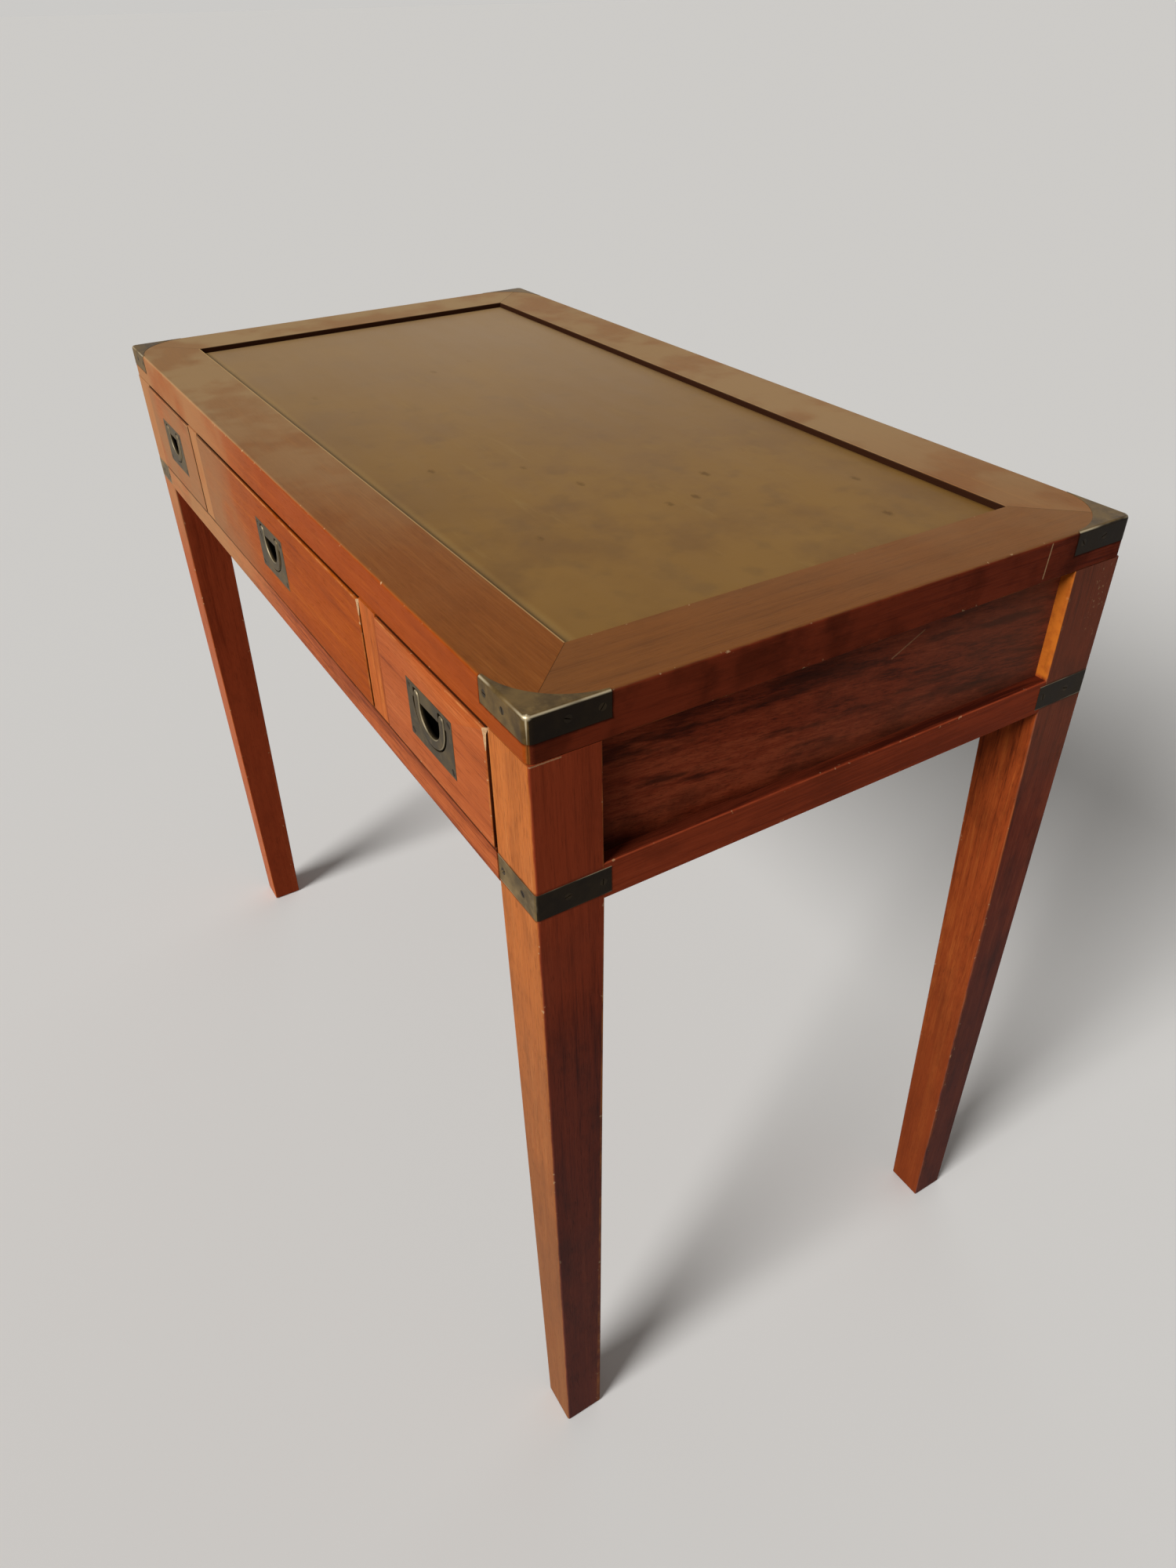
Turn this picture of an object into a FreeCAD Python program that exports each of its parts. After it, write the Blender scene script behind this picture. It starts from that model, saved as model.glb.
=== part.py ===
"""Three-drawer campaign desk: mitred top with leather, tapered legs, dovetailed drawers, brass fittings.

Millimetres. Origin on the floor under the middle of the desk: +X to the sitter's right, +Y back, +Z up.
"""
import FreeCAD, Part
import math
import os

V = FreeCAD.Vector

# Main sizes of the desk
width = 874.0
depth = 470.0
height = 765.0
apron_height = 113.0
arris_round = 0.8

# Top: mitred frame, panel under the leather, leather
top_thick = 30.0
frame_width = 58.0
corner_radius = 5.0
top_round = 2.0
under_round = 1.2
inner_bevel = 0.8
leather_recess = 4.5
leather_thick = 1.2
leather_gap = 0.6
panel_thick = 18.0
panel_tongue = 8.0
panel_tongue_thick = 8.0
spline_length = 22.0
spline_width = 20.0
spline_thick = 4.0
spline_rise = 2.0

# Legs
leg_top = 46.0
leg_foot = 34.0
leg_round = 2.0
foot_bevel = 1.5
leg_tenon = 18.0
leg_tenon_height = 14.0

# Rails, panels and their joints
rail_height = 27.0
rail_thick = 22.0
rail_proud = 0.9
rail_round = 4.0
front_rail_depth = 42.0
tenon_set = 6.0
tenon_thick = 10.0
tenon_shoulder = 4.0
mortise_web = 8.0
side_recess = 10.0
board_thick = 14.0
board_tongue = 8.0
board_tongue_thick = 7.0

# Dividers, runners, guides, kickers and stops
centre_opening = 406.0
divider_width = 28.0
divider_depth = 22.0
divider_tenon = 8.0
divider_tenon_width = 14.0
runner_lip = 16.0
runner_thick = 18.0
runner_tongue = 8.0
guide_height = 24.0
stop_height = 6.0
stop_width = 24.0
stop_inset = 30.0
stop_gap = 0.4

# Drawers
drawer_back_gap = 22.8
drawer_proud = 1.8
drawer_gap = 1.2
drawer_lift = 0.6
drawer_top_gap = 1.6
run_gap = 0.3
front_thick = 20.0
front_round = 1.0
side_thick = 10.0
side_drop = 4.0
back_drop = 5.0
bottom_thick = 5.0
bottom_lift = 8.0
groove_depth = 5.0
tail_count = 3
tail_length = 13.0
tail_slope = 0.14
pin_width = 9.0

# Flush pulls
finger_radius = 14.7
bail_width = 7.0
bail_thick = 4.2
bail_proud = 0.6
bail_bevel = 0.9
bail_side_gap = 3.2
bail_foot_gap = 0.8
pivot_rise = 3.4
pivot_radius = 1.0
pivot_play = 0.05
pivot_seat = 3.5
slot_gap = 1.2
slot_round = 2.0
swing_gap = 0.35
plate_thick = 2.0
plate_proud = 0.2
plate_side_rim = 8.6
plate_top_rim = 2.7
plate_foot_rim = 6.4
plate_bevel = 0.4
plate_screw_inset = 4.2
cup_depth = 11.0
cup_fall = 1.0
cup_wall = 1.3
cup_round = 5.0

# Brass corner caps, leg straps and their screws
brass_thick = 1.4
brass_proud = 0.2
cap_length = 52.0
cap_drop = 17.0
cap_waist = 18.0
cap_end = 2.2
cap_screw_pitch = 21.0
strap_height = 19.5
strap_overlap = 5.0
strap_screw_pitch = 24.0
screw_inset = 5.8
screw_head = 2.5
screw_sink = 1.2
screw_shank = 1.2
screw_length = 9.0
screw_slot = 0.8

# Places worked out from the sizes above
overshoot = 1.0
front_reach = drawer_proud + plate_proud + bail_proud
front_y = front_reach - (depth + front_reach + brass_proud) / 2
back_y = front_y + depth
mid_y = (front_y + back_y) / 2
half_width = width / 2
under_z = height - top_thick
rail_z = under_z - apron_height
run_z = rail_z + rail_height
leg_x = half_width - leg_top
divider_x = (centre_opening + divider_width) / 2
tenon_length = leg_top - tenon_set - tenon_thick - mortise_web
panel_x = half_width - frame_width
panel_front = front_y + frame_width
panel_back = back_y - frame_width
leather_z = height - leather_recess
panel_z = leather_z - leather_thick - panel_thick
rail_back = front_y + front_rail_depth
board_x = half_width - side_recess - board_thick
board_y = back_y - side_recess - board_thick

os.makedirs("parts", exist_ok=True)


def box(x0, x1, y0, y1, z0, z1):
    return Part.makeBox(x1 - x0, y1 - y0, z1 - z0, V(x0, y0, z0))


def prism(points, along):
    return Part.Face(Part.makePolygon(points + points[:1])).extrude(along)


def fuse(pieces):
    return pieces[0].multiFuse(pieces[1:]).removeSplitter()


def middle(edge):
    return edge.valueAt((edge.FirstParameter + edge.LastParameter) / 2)


def near(a, b):
    return abs(a - b) < 1e-6


def rounded(shape, radius, wanted):
    return shape.makeFillet(radius, [e for e in shape.Edges if wanted(e)])


def bevelled(shape, size, wanted):
    return shape.makeChamfer(size, [e for e in shape.Edges if wanted(e)])


def upright(edge):
    ends = [v.Point for v in edge.Vertexes]
    return len(ends) == 2 and near(ends[0].x, ends[1].x) and near(ends[0].y, ends[1].y)


def upright_at(edge, x, y):
    return upright(edge) and near(middle(edge).x, x) and near(middle(edge).y, y)


def rising(edge):
    return not near(edge.Vertexes[0].Point.z, edge.Vertexes[-1].Point.z)


def at_height(edge, z):
    return all(near(v.Point.z, z) for v in edge.Vertexes) and near(middle(edge).z, z)


def flip_x(shape):
    return shape.mirror(V(0, 0, 0), V(1, 0, 0))


def flip_y(shape):
    return shape.mirror(V(0, mid_y, 0), V(0, 1, 0))


def four_corners(shape):
    """The front right piece and its three mirror copies, by corner name."""
    return {
        "front_right": shape,
        "front_left": flip_x(shape),
        "back_right": flip_y(shape),
        "back_left": flip_x(flip_y(shape)),
    }


def save(name, shape):
    shape.exportStep("parts/" + name + ".step")


# Screws: countersunk, one straight slot, drawn along +Z into the work and then turned to its place
def screw_blank():
    outline = [
        V(0, 0, 0),
        V(screw_head, 0, 0),
        V(screw_shank, 0, screw_sink),
        V(screw_shank, 0, screw_length),
        V(0, 0, screw_length),
    ]
    face = Part.Face(Part.makePolygon(outline + outline[:1]))
    return face.revolve(V(0, 0, 0), V(0, 0, 1), 360)


def screw_pair(place, inward, turn):
    """The slotted screw, and the plain blank that its hole is cut with."""
    spin = FreeCAD.Rotation(V(0, 0, 1), turn)
    aim = FreeCAD.Rotation(V(0, 0, 1), inward)
    blank = screw_blank()
    slot = box(-screw_head, screw_head, -screw_slot / 2, screw_slot / 2, -screw_slot, screw_slot)
    screw = blank.cut(slot)
    for shape in (blank, screw):
        shape.Placement = FreeCAD.Placement(place, aim.multiply(spin))
    return screw, blank


# Legs: square, the two outer faces plumb, the two inner faces tapered below the rails
def leg_outline(z, size, inset):
    """Section of the front right leg at one height, its outer corner rounded more than the others."""
    x0 = half_width - size + inset
    x1 = half_width - inset
    y0 = front_y + inset
    y1 = front_y + size - inset
    corners = [V(x0, y0, z), V(x1, y0, z), V(x1, y1, z), V(x0, y1, z)]
    radii = [arris_round, leg_round, arris_round, arris_round]
    arcs = []
    for index, (corner, radius) in enumerate(zip(corners, radii)):
        back = (corners[index - 1] - corner).normalize()
        ahead = (corners[(index + 1) % 4] - corner).normalize()
        centre = corner + (back + ahead) * radius
        bulge = centre - (back + ahead) * (radius * math.sqrt(0.5))
        arcs.append(Part.Arc(corner + back * radius, bulge, corner + ahead * radius))
    edges = []
    for index, arc in enumerate(arcs):
        edges.append(arc.toShape())
        edges.append(Part.makeLine(arc.EndPoint, arcs[(index + 1) % 4].StartPoint))
    return Part.Wire(edges)


def leg():
    def size_at(z):
        return leg_foot + (leg_top - leg_foot) * z / rail_z

    outlines = [
        leg_outline(0, leg_foot, foot_bevel),
        leg_outline(foot_bevel, size_at(foot_bevel), 0),
        leg_outline(rail_z, leg_top, 0),
        leg_outline(under_z, leg_top, 0),
    ]
    body = Part.makeLoft(outlines, True, True)
    centre_x = half_width - leg_top / 2
    centre_y = front_y + leg_top / 2
    half = leg_tenon / 2
    tenon = box(centre_x - half, centre_x + half, centre_y - half, centre_y + half,
                under_z - overshoot, under_z + leg_tenon_height)
    return fuse([body, tenon])


# Rails between the legs, with tenons that stop short of each other inside the leg
def cross_rail(y_out, y_in, y_tenon):
    rail = box(-leg_x, leg_x, y_out, y_in, rail_z, run_z)
    tenon = box(-leg_x - tenon_length, leg_x + tenon_length, y_tenon, y_tenon + tenon_thick,
                rail_z + tenon_shoulder, run_z - tenon_shoulder)
    return rail, tenon


def front_rail():
    face_y = front_y - rail_proud
    rail, tenon = cross_rail(face_y, rail_back, front_y + tenon_set)
    rail = rounded(rail, rail_round, lambda e: at_height(e, rail_z) and near(middle(e).y, face_y))
    rail = rounded(rail, arris_round, lambda e: at_height(e, run_z) and near(middle(e).y, face_y))
    return fuse([rail, tenon])


def back_rail():
    rail, tenon = cross_rail(back_y - rail_thick, back_y, back_y - tenon_set - tenon_thick)
    rail = rounded(rail, arris_round, lambda e: not rising(e) and near(middle(e).y, back_y))
    return fuse([rail, tenon])


def side_rail():
    y0 = front_y + leg_top
    y1 = back_y - leg_top
    rail = box(half_width - rail_thick, half_width, y0, y1, rail_z, run_z)
    rail = rounded(rail, arris_round, lambda e: not rising(e) and near(middle(e).x, half_width))
    x_out = half_width - tenon_set
    tenon = box(x_out - tenon_thick, x_out, y0 - tenon_length, y1 + tenon_length,
                rail_z + tenon_shoulder, run_z - tenon_shoulder)
    return fuse([rail, tenon])


# Side and back boards, set back behind the leg faces, with tongues into the legs
def side_board():
    y0 = front_y + leg_top
    y1 = back_y - leg_top
    tongue_x = board_x + (board_thick - board_tongue_thick) / 2
    board = box(board_x, board_x + board_thick, y0, y1, run_z, under_z)
    tongue = box(tongue_x, tongue_x + board_tongue_thick, y0 - board_tongue, y1 + board_tongue,
                 run_z, under_z)
    return fuse([board, tongue])


def back_board():
    tongue_y = board_y + (board_thick - board_tongue_thick) / 2
    reach = leg_x + board_tongue
    board = box(-leg_x, leg_x, board_y, board_y + board_thick, run_z, under_z)
    tongue = box(-reach, reach, tongue_y, tongue_y + board_tongue_thick, run_z, under_z)
    return fuse([board, tongue])


# Uprights between the drawers, tenoned into the front rail and the top
def divider():
    face_y = front_y - rail_proud
    post = box(divider_x - divider_width / 2, divider_x + divider_width / 2,
               face_y, face_y + divider_depth, run_z, under_z)
    post = rounded(post, arris_round, lambda e: upright(e) and near(middle(e).y, face_y))
    tenon_y = face_y + (divider_depth - divider_tenon) / 2
    tenon = box(divider_x - divider_tenon_width / 2, divider_x + divider_tenon_width / 2,
                tenon_y, tenon_y + divider_tenon, run_z - divider_tenon, under_z + divider_tenon)
    return fuse([post, tenon])


# Runners under the drawer sides, let into the front and back rails
def runner_strip(x0, x1):
    y0 = rail_back
    y1 = back_y - rail_thick
    z0 = run_z - runner_thick
    tongue_z = z0 + (runner_thick - runner_tongue) / 2
    strip = box(x0, x1, y0, y1, z0, run_z)
    tongue = box(x0, x1, y0 - runner_tongue, y1 + runner_tongue, tongue_z, tongue_z + runner_tongue)
    return [strip, tongue]


def inner_runner():
    reach = divider_width / 2 + runner_lip
    return fuse(runner_strip(divider_x - reach, divider_x + reach))


def end_runner():
    filler = box(leg_x, half_width - rail_thick, front_y + leg_top, back_y - leg_top,
                 run_z - runner_thick, run_z)
    return fuse(runner_strip(leg_x - runner_lip, leg_x) + [filler])


# Guides that keep the drawers straight, kickers that keep them level when they are pulled out
def drawer_guides():
    guide_z = run_z + guide_height
    inner = box(divider_x - divider_width / 2, divider_x + divider_width / 2,
                front_y - rail_proud + divider_depth, board_y, run_z, guide_z)
    end = box(leg_x, board_x, front_y + leg_top, back_y - leg_top, run_z, guide_z)
    return Part.Compound([inner, flip_x(inner), end, flip_x(end)])


def drawer_kickers():
    reach = divider_width / 2 + runner_lip
    kicker = box(divider_x - reach, divider_x + reach, panel_front, panel_back, under_z, panel_z)
    return Part.Compound([kicker, flip_x(kicker)])


def drawer_stops(openings):
    y0 = front_y - drawer_proud + front_thick + stop_gap
    stops = []
    for x0, x1 in openings:
        for x in (x0 + stop_inset, x1 - stop_inset - stop_width):
            stops.append(box(x, x + stop_width, y0, rail_back, run_z, run_z + stop_height))
    return Part.Compound(stops)


# Top: one eased frame parted along the mitres, a tongued panel, the leather glued to it
def top_panel():
    body = box(-panel_x, panel_x, panel_front, panel_back, panel_z, panel_z + panel_thick)
    tongue_z = panel_z + (panel_thick - panel_tongue_thick) / 2
    tongue = box(-panel_x - panel_tongue, panel_x + panel_tongue, panel_front - panel_tongue,
                 panel_back + panel_tongue, tongue_z, tongue_z + panel_tongue_thick)
    return fuse([body, tongue])


def leather():
    x = panel_x - leather_gap
    return box(-x, x, panel_front + leather_gap, panel_back - leather_gap, panel_z + panel_thick, leather_z)


def mitre_splines():
    """Loose flat tongues across the mitres, above the leg tenons and clear of the panel groove."""
    inset = (frame_width - panel_tongue) / 2
    spline_z = under_z + leg_tenon_height + spline_rise
    spline = box(-spline_length / 2, spline_length / 2, -spline_width / 2, spline_width / 2,
                 spline_z, spline_z + spline_thick)
    spline.rotate(V(0, 0, 0), V(0, 0, 1), 45)
    spline.translate(V(half_width - inset, front_y + inset, 0))
    return four_corners(spline)


def top_frame():
    block = box(-half_width, half_width, front_y, back_y, under_z, height)
    block = rounded(block, corner_radius, upright)
    block = rounded(block, top_round, lambda e: at_height(e, height))
    block = rounded(block, under_round, lambda e: at_height(e, under_z))
    well = box(-panel_x, panel_x, panel_front, panel_back, under_z - overshoot, height + overshoot)
    block = block.cut(well)

    def inner_edge(e):
        point = middle(e)
        within_x = abs(point.x) < panel_x + overshoot
        within_y = abs(point.y - mid_y) < panel_back - mid_y + overshoot
        return at_height(e, height) and within_x and within_y

    return bevelled(block, inner_bevel, inner_edge)


def mitred_members(frame):
    """The frame cut into its four members by prisms whose slanted sides are the mitre planes."""
    out = overshoot
    deep = frame_width + overshoot
    rise = V(0, 0, top_thick + 2 * overshoot)
    low = under_z - overshoot
    front = [
        V(-half_width - out, front_y - out, low),
        V(half_width + out, front_y - out, low),
        V(half_width - deep, front_y + deep, low),
        V(-half_width + deep, front_y + deep, low),
    ]
    right = [
        V(half_width + out, front_y - out, low),
        V(half_width + out, back_y + out, low),
        V(half_width - deep, back_y - deep, low),
        V(half_width - deep, front_y + deep, low),
    ]
    front_wedge = prism(front, rise)
    right_wedge = prism(right, rise)
    wedges = {
        "front": front_wedge,
        "back": flip_y(front_wedge),
        "right": right_wedge,
        "left": flip_x(right_wedge),
    }
    return {side: frame.common(wedge) for side, wedge in wedges.items()}


# Brass corner caps: a top leaf with a hollow-curved edge and two side leaves, wrapped round the corner
def cap_block(skin, radius, edge_radius, z0):
    """Corner of the top, its faces standing out by skin, with its upright edge and top edges rounded."""
    x1 = half_width + skin
    y0 = front_y - skin
    z1 = height + skin
    reach = cap_length + corner_radius
    block = box(half_width - reach, x1, y0, front_y + reach, z0, z1)
    block = rounded(block, radius, lambda e: upright_at(e, x1, y0))

    def outer_top(e):
        inward = near(middle(e).x, half_width - reach) or near(middle(e).y, front_y + reach)
        return at_height(e, z1) and not inward

    return rounded(block, edge_radius, outer_top)


def corner_cap():
    z0 = height - cap_drop
    inset = brass_proud - brass_thick
    outer = cap_block(brass_proud, corner_radius + brass_proud, top_round + brass_proud, z0)
    inner = cap_block(inset, corner_radius + inset, top_round + inset, z0 - overshoot)
    shell = outer.cut(inner)

    def plan(a, b):
        return V(half_width - a, front_y + b, z0)

    out = -brass_proud - overshoot
    hollow = Part.Arc(plan(cap_length, cap_end), plan(cap_waist, cap_waist), plan(cap_end, cap_length))
    path = [
        Part.makeLine(plan(out, out), plan(cap_length, out)),
        Part.makeLine(plan(cap_length, out), plan(cap_length, cap_end)),
        hollow.toShape(),
        Part.makeLine(plan(cap_end, cap_length), plan(out, cap_length)),
        Part.makeLine(plan(out, cap_length), plan(out, out)),
    ]
    leaf = Part.Face(Part.Wire(path)).extrude(V(0, 0, cap_drop + brass_proud + overshoot))
    return shell.common(leaf)


def cap_screw_places():
    z = height - cap_drop / 2
    first = cap_length - screw_inset
    places = []
    for run in (first, first - cap_screw_pitch):
        places.append((V(half_width - run, front_y - brass_proud, z), V(0, 1, 0)))
        places.append((V(half_width + brass_proud, front_y + run, z), V(-1, 0, 0)))
    return places


# Brass straps: bent round the outer corner of each leg, reaching on to the side rail
def leg_strap():
    z0 = rail_z + (rail_height - strap_height) / 2
    z1 = z0 + strap_height
    x1 = half_width + brass_proud
    y0 = front_y - brass_proud
    reach = leg_top + strap_overlap
    outer = box(leg_x, x1, y0, front_y + reach, z0, z1)
    outer = rounded(outer, leg_round + brass_proud, lambda e: upright_at(e, x1, y0))
    x2 = x1 - brass_thick
    y2 = y0 + brass_thick
    inner = box(leg_x - overshoot, x2, y2, front_y + reach + overshoot, z0 - overshoot, z1 + overshoot)
    inner = rounded(inner, leg_round + brass_proud - brass_thick, lambda e: upright_at(e, x2, y2))
    return outer.cut(inner)


def strap_screw_places():
    z = rail_z + rail_height / 2
    front_run = leg_top - screw_inset
    side_run = front_run + strap_overlap
    places = []
    for step in (0, strap_screw_pitch):
        places.append((V(half_width - front_run + step, front_y - brass_proud, z), V(0, 1, 0)))
        places.append((V(half_width + brass_proud, front_y + side_run - step, z), V(-1, 0, 0)))
    return places


def brass_screws():
    """All cap and strap screws, and the blanks that cut their holes."""
    screws = []
    blanks = []
    for index, (place, inward) in enumerate(cap_screw_places() + strap_screw_places()):
        screw, blank = screw_pair(place, inward, 37 * index)
        screws += four_corners(screw).values()
        blanks += four_corners(blank).values()
    return screws, blanks


# Drawers: half-blind dovetails at the front, through dovetails at the back, bottom in grooves
def tails(x0, y_root, reach, z0, z1):
    """Dovetails across one board end between two heights; reach is signed along Y."""
    pitch = (z1 - z0) / tail_count
    tip = (pitch - pin_width) / 2
    root = tip - abs(reach) * tail_slope
    pieces = []
    for index in range(tail_count):
        z = z0 + pitch * (index + 0.5)
        outline = [
            V(x0, y_root, z - root),
            V(x0, y_root + reach, z - tip),
            V(x0, y_root + reach, z + tip),
            V(x0, y_root, z + root),
        ]
        pieces.append(prism(outline, V(side_thick, 0, 0)))
    return pieces


def drawer(x0, x1):
    """The five boards of the drawer for the opening from x0 to x1."""
    fx0 = x0 + drawer_gap
    fx1 = x1 - drawer_gap
    face_y = front_y - drawer_proud
    inner_y = face_y + front_thick
    back_end = board_y - drawer_back_gap
    side_z0 = run_z + run_gap
    side_z1 = under_z - side_drop
    floor_z = side_z0 + bottom_lift
    back_z0 = floor_z + bottom_thick
    back_z1 = side_z1 - back_drop
    back_y0 = back_end - side_thick

    front = box(fx0, fx1, face_y, inner_y, run_z + drawer_lift, under_z - drawer_top_gap)
    front = rounded(front, front_round, lambda e: near(middle(e).y, face_y))
    bottom = box(fx0 + side_thick - groove_depth, fx1 - side_thick + groove_depth,
                 inner_y - groove_depth, back_end, floor_z, back_z0)

    def side(sx):
        board = fuse([box(sx, sx + side_thick, inner_y, back_end, side_z0, side_z1)]
                     + tails(sx, inner_y, -tail_length, side_z0, side_z1))
        pins = box(sx, sx + side_thick, back_y0, back_end, back_z0, back_z1)
        pins = pins.cut(Part.Compound(tails(sx, back_y0, side_thick, back_z0, back_z1)))
        return board.cut(pins).cut(bottom)

    left_side = side(fx0)
    right_side = side(fx1 - side_thick)
    back = box(fx0, fx1, back_y0, back_end, back_z0, back_z1).cut(Part.Compound([left_side, right_side]))
    front = front.cut(Part.Compound([left_side, right_side, bottom]))
    return {
        "front": front,
        "left_side": left_side,
        "right_side": right_side,
        "back": back,
        "bottom": bottom,
    }


# Flush pulls, drawn round the middle of the cup's straight edge: X across, Y into the drawer, Z up
bail_outer = finger_radius + bail_width
cup_radius = bail_outer + bail_side_gap
bail_fall = cup_fall + cup_radius - bail_outer - bail_foot_gap
pivot_in = bail_thick / 2 - bail_proud
swing_reach = math.hypot(bail_width / 2, bail_thick / 2) + swing_gap
slot_in = finger_radius - slot_gap
slot_out = bail_outer + slot_gap
slot_top = pivot_rise + swing_reach
slot_depth = pivot_in + swing_reach
pin_in = slot_in - pivot_seat
pin_out = slot_out + pivot_seat
lug_depth = slot_depth + cup_wall
plate_half = cup_radius + plate_side_rim
plate_top = slot_top + plate_top_rim
plate_foot = -cup_fall - cup_radius - plate_foot_rim


def cup_body():
    """The block behind the plate that the cup is hollowed out of: round below, straight above."""
    radius = cup_radius + cup_wall
    y = plate_bevel
    low_left = V(-radius, y, -cup_fall)
    low_right = V(radius, y, -cup_fall)
    top_left = V(-radius, y, cup_wall)
    top_right = V(radius, y, cup_wall)
    outline = Part.Wire([
        Part.Arc(low_left, V(0, y, -cup_fall - radius), low_right).toShape(),
        Part.makeLine(low_right, top_right),
        Part.makeLine(top_right, top_left),
        Part.makeLine(top_left, low_left),
    ])
    return Part.Face(outline).extrude(V(0, cup_depth + cup_wall - y, 0))


def cup_hollow():
    """Half of a round dish with a rounded floor edge, drawn on straight up to the pivots."""
    z = -cup_fall
    bend = cup_round * (1 - math.sqrt(0.5))
    lip = V(cup_radius, -overshoot, z)
    bend_start = V(cup_radius, cup_depth - cup_round, z)
    bend_mid = V(cup_radius - bend, cup_depth - bend, z)
    bend_end = V(cup_radius - cup_round, cup_depth, z)
    section = Part.Face(Part.Wire([
        Part.makeLine(V(0, -overshoot, z), lip),
        Part.makeLine(lip, bend_start),
        Part.Arc(bend_start, bend_mid, bend_end).toShape(),
        Part.makeLine(bend_end, V(0, cup_depth, z)),
        Part.makeLine(V(0, cup_depth, z), V(0, -overshoot, z)),
    ]))
    dish = section.revolve(V(0, 0, z), V(0, 1, 0), 180)
    straight = section.extrude(V(0, 0, cup_fall))
    return fuse([dish, straight, flip_x(straight)])


def pull_slots():
    slot = box(slot_in, slot_out, -overshoot, slot_depth, -slot_round, slot_top)
    slot = rounded(slot, slot_round, lambda e: at_height(e, slot_top) and not near(middle(e).y, -overshoot)
                   and not near(middle(e).y, slot_depth))
    return [slot, flip_x(slot)]


def pull_pins():
    pin = Part.makeCylinder(pivot_radius, pin_out - pin_in, V(pin_in, pivot_in, pivot_rise), V(1, 0, 0))
    return [pin, flip_x(pin)]


def pull_screws():
    pairs = []
    for index, z in enumerate((plate_top - plate_screw_inset, plate_foot + plate_screw_inset)):
        for sign in (-1, 1):
            place = V(sign * (plate_half - plate_screw_inset), 0, z)
            pairs.append(screw_pair(place, V(0, 1, 0), 50 * index + 25 * sign))
    return pairs


def pull_plate():
    """The plate with its cup and pivot lugs, and the solid envelope that the drawer front is cut with."""
    plate = box(-plate_half, plate_half, 0, plate_thick, plate_foot, plate_top)
    plate = bevelled(plate, plate_bevel, lambda e: near(middle(e).y, 0))
    lug = box(-pin_out, pin_out, plate_bevel, lug_depth, 0, slot_top + cup_wall)
    envelope = fuse([plate, cup_body(), lug])
    shell = envelope.cut(cup_hollow()).cut(Part.Compound(pull_slots())).cut(Part.Compound(pull_pins()))
    return shell, envelope


def pull_bail():
    ri = finger_radius
    ro = bail_outer
    rm = (ri + ro) / 2
    tip = pivot_rise + bail_width / 2

    def at(x, z):
        return V(x, -bail_proud, z)

    outline = Part.Wire([
        Part.makeLine(at(-ro, pivot_rise), at(-ro, -bail_fall)),
        Part.Arc(at(-ro, -bail_fall), at(0, -bail_fall - ro), at(ro, -bail_fall)).toShape(),
        Part.makeLine(at(ro, -bail_fall), at(ro, pivot_rise)),
        Part.Arc(at(ro, pivot_rise), at(rm, tip), at(ri, pivot_rise)).toShape(),
        Part.makeLine(at(ri, pivot_rise), at(ri, -bail_fall)),
        Part.Arc(at(ri, -bail_fall), at(0, -bail_fall - ri), at(-ri, -bail_fall)).toShape(),
        Part.makeLine(at(-ri, -bail_fall), at(-ri, pivot_rise)),
        Part.Arc(at(-ri, pivot_rise), at(-rm, tip), at(-ro, pivot_rise)).toShape(),
    ])
    bail = Part.Face(outline).extrude(V(0, bail_thick, 0))
    through = V(0, 1, 0)
    bail = bevelled(bail, bail_bevel, lambda e: abs(e.tangentAt(e.FirstParameter).dot(through)) < 0.5)
    hole = Part.makeCylinder(pivot_radius + pivot_play, 2 * ro, V(-ro, pivot_in, pivot_rise), V(1, 0, 0))
    return bail.cut(hole)


def moved(shape, offset):
    copy = shape.copy()
    copy.translate(offset)
    return copy


def drawer_set(name, x0, x1):
    boards = drawer(x0, x1)
    shell, envelope = pull_plate()
    pairs = pull_screws()
    face_z = (run_z + drawer_lift + under_z - drawer_top_gap) / 2
    hub = V((x0 + x1) / 2, front_y - drawer_proud - plate_proud, face_z - (plate_top + plate_foot) / 2)
    blanks = Part.Compound([blank for _, blank in pairs])
    fixings = pull_pins() + [screw for screw, _ in pairs]
    front = boards["front"].cut(moved(envelope, hub)).cut(moved(blanks, hub))
    boards["front"] = front
    for board, shape in boards.items():
        save(name + "_drawer_" + board, shape)
    save(name + "_pull_plate", moved(shell.cut(blanks), hub))
    save(name + "_pull_bail", moved(pull_bail(), hub))
    save(name + "_pull_fixings", moved(Part.Compound(fixings), hub))


# Put the pieces together: each tongue, tenon, fitting and screw cuts its own seat in its neighbour
outer_edge = divider_x + divider_width / 2
openings = {
    "left": (-leg_x, -outer_edge),
    "centre": (-centre_opening / 2, centre_opening / 2),
    "right": (outer_edge, leg_x),
}
for name, (x0, x1) in openings.items():
    drawer_set(name, x0, x1)

screws, blanks = brass_screws()
holes = Part.Compound(blanks)
save("brass_screws", Part.Compound(screws))

caps = four_corners(corner_cap())
straps = four_corners(leg_strap())
strap_seats = Part.Compound(list(straps.values()))
legs = four_corners(leg())
rails = {"front": front_rail(), "back": back_rail(), "right": side_rail()}
rails["left"] = flip_x(rails["right"])
boards = {"right": side_board(), "back": back_board()}
boards["left"] = flip_x(boards["right"])
dividers = {"right": divider()}
dividers["left"] = flip_x(dividers["right"])
runners = {"right_inner": inner_runner(), "right_end": end_runner()}
runners["left_inner"] = flip_x(runners["right_inner"])
runners["left_end"] = flip_x(runners["right_end"])
splines = mitre_splines()
panel = top_panel()

joined = Part.Compound(list(rails.values()) + list(boards.values()))
runner_seats = Part.Compound(list(runners.values()))
divider_seats = Part.Compound(list(dividers.values()))
top_seats = [panel, Part.Compound(list(splines.values())), Part.Compound(list(legs.values()))]
top_seats += [divider_seats, Part.Compound(list(caps.values())), holes]

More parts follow.
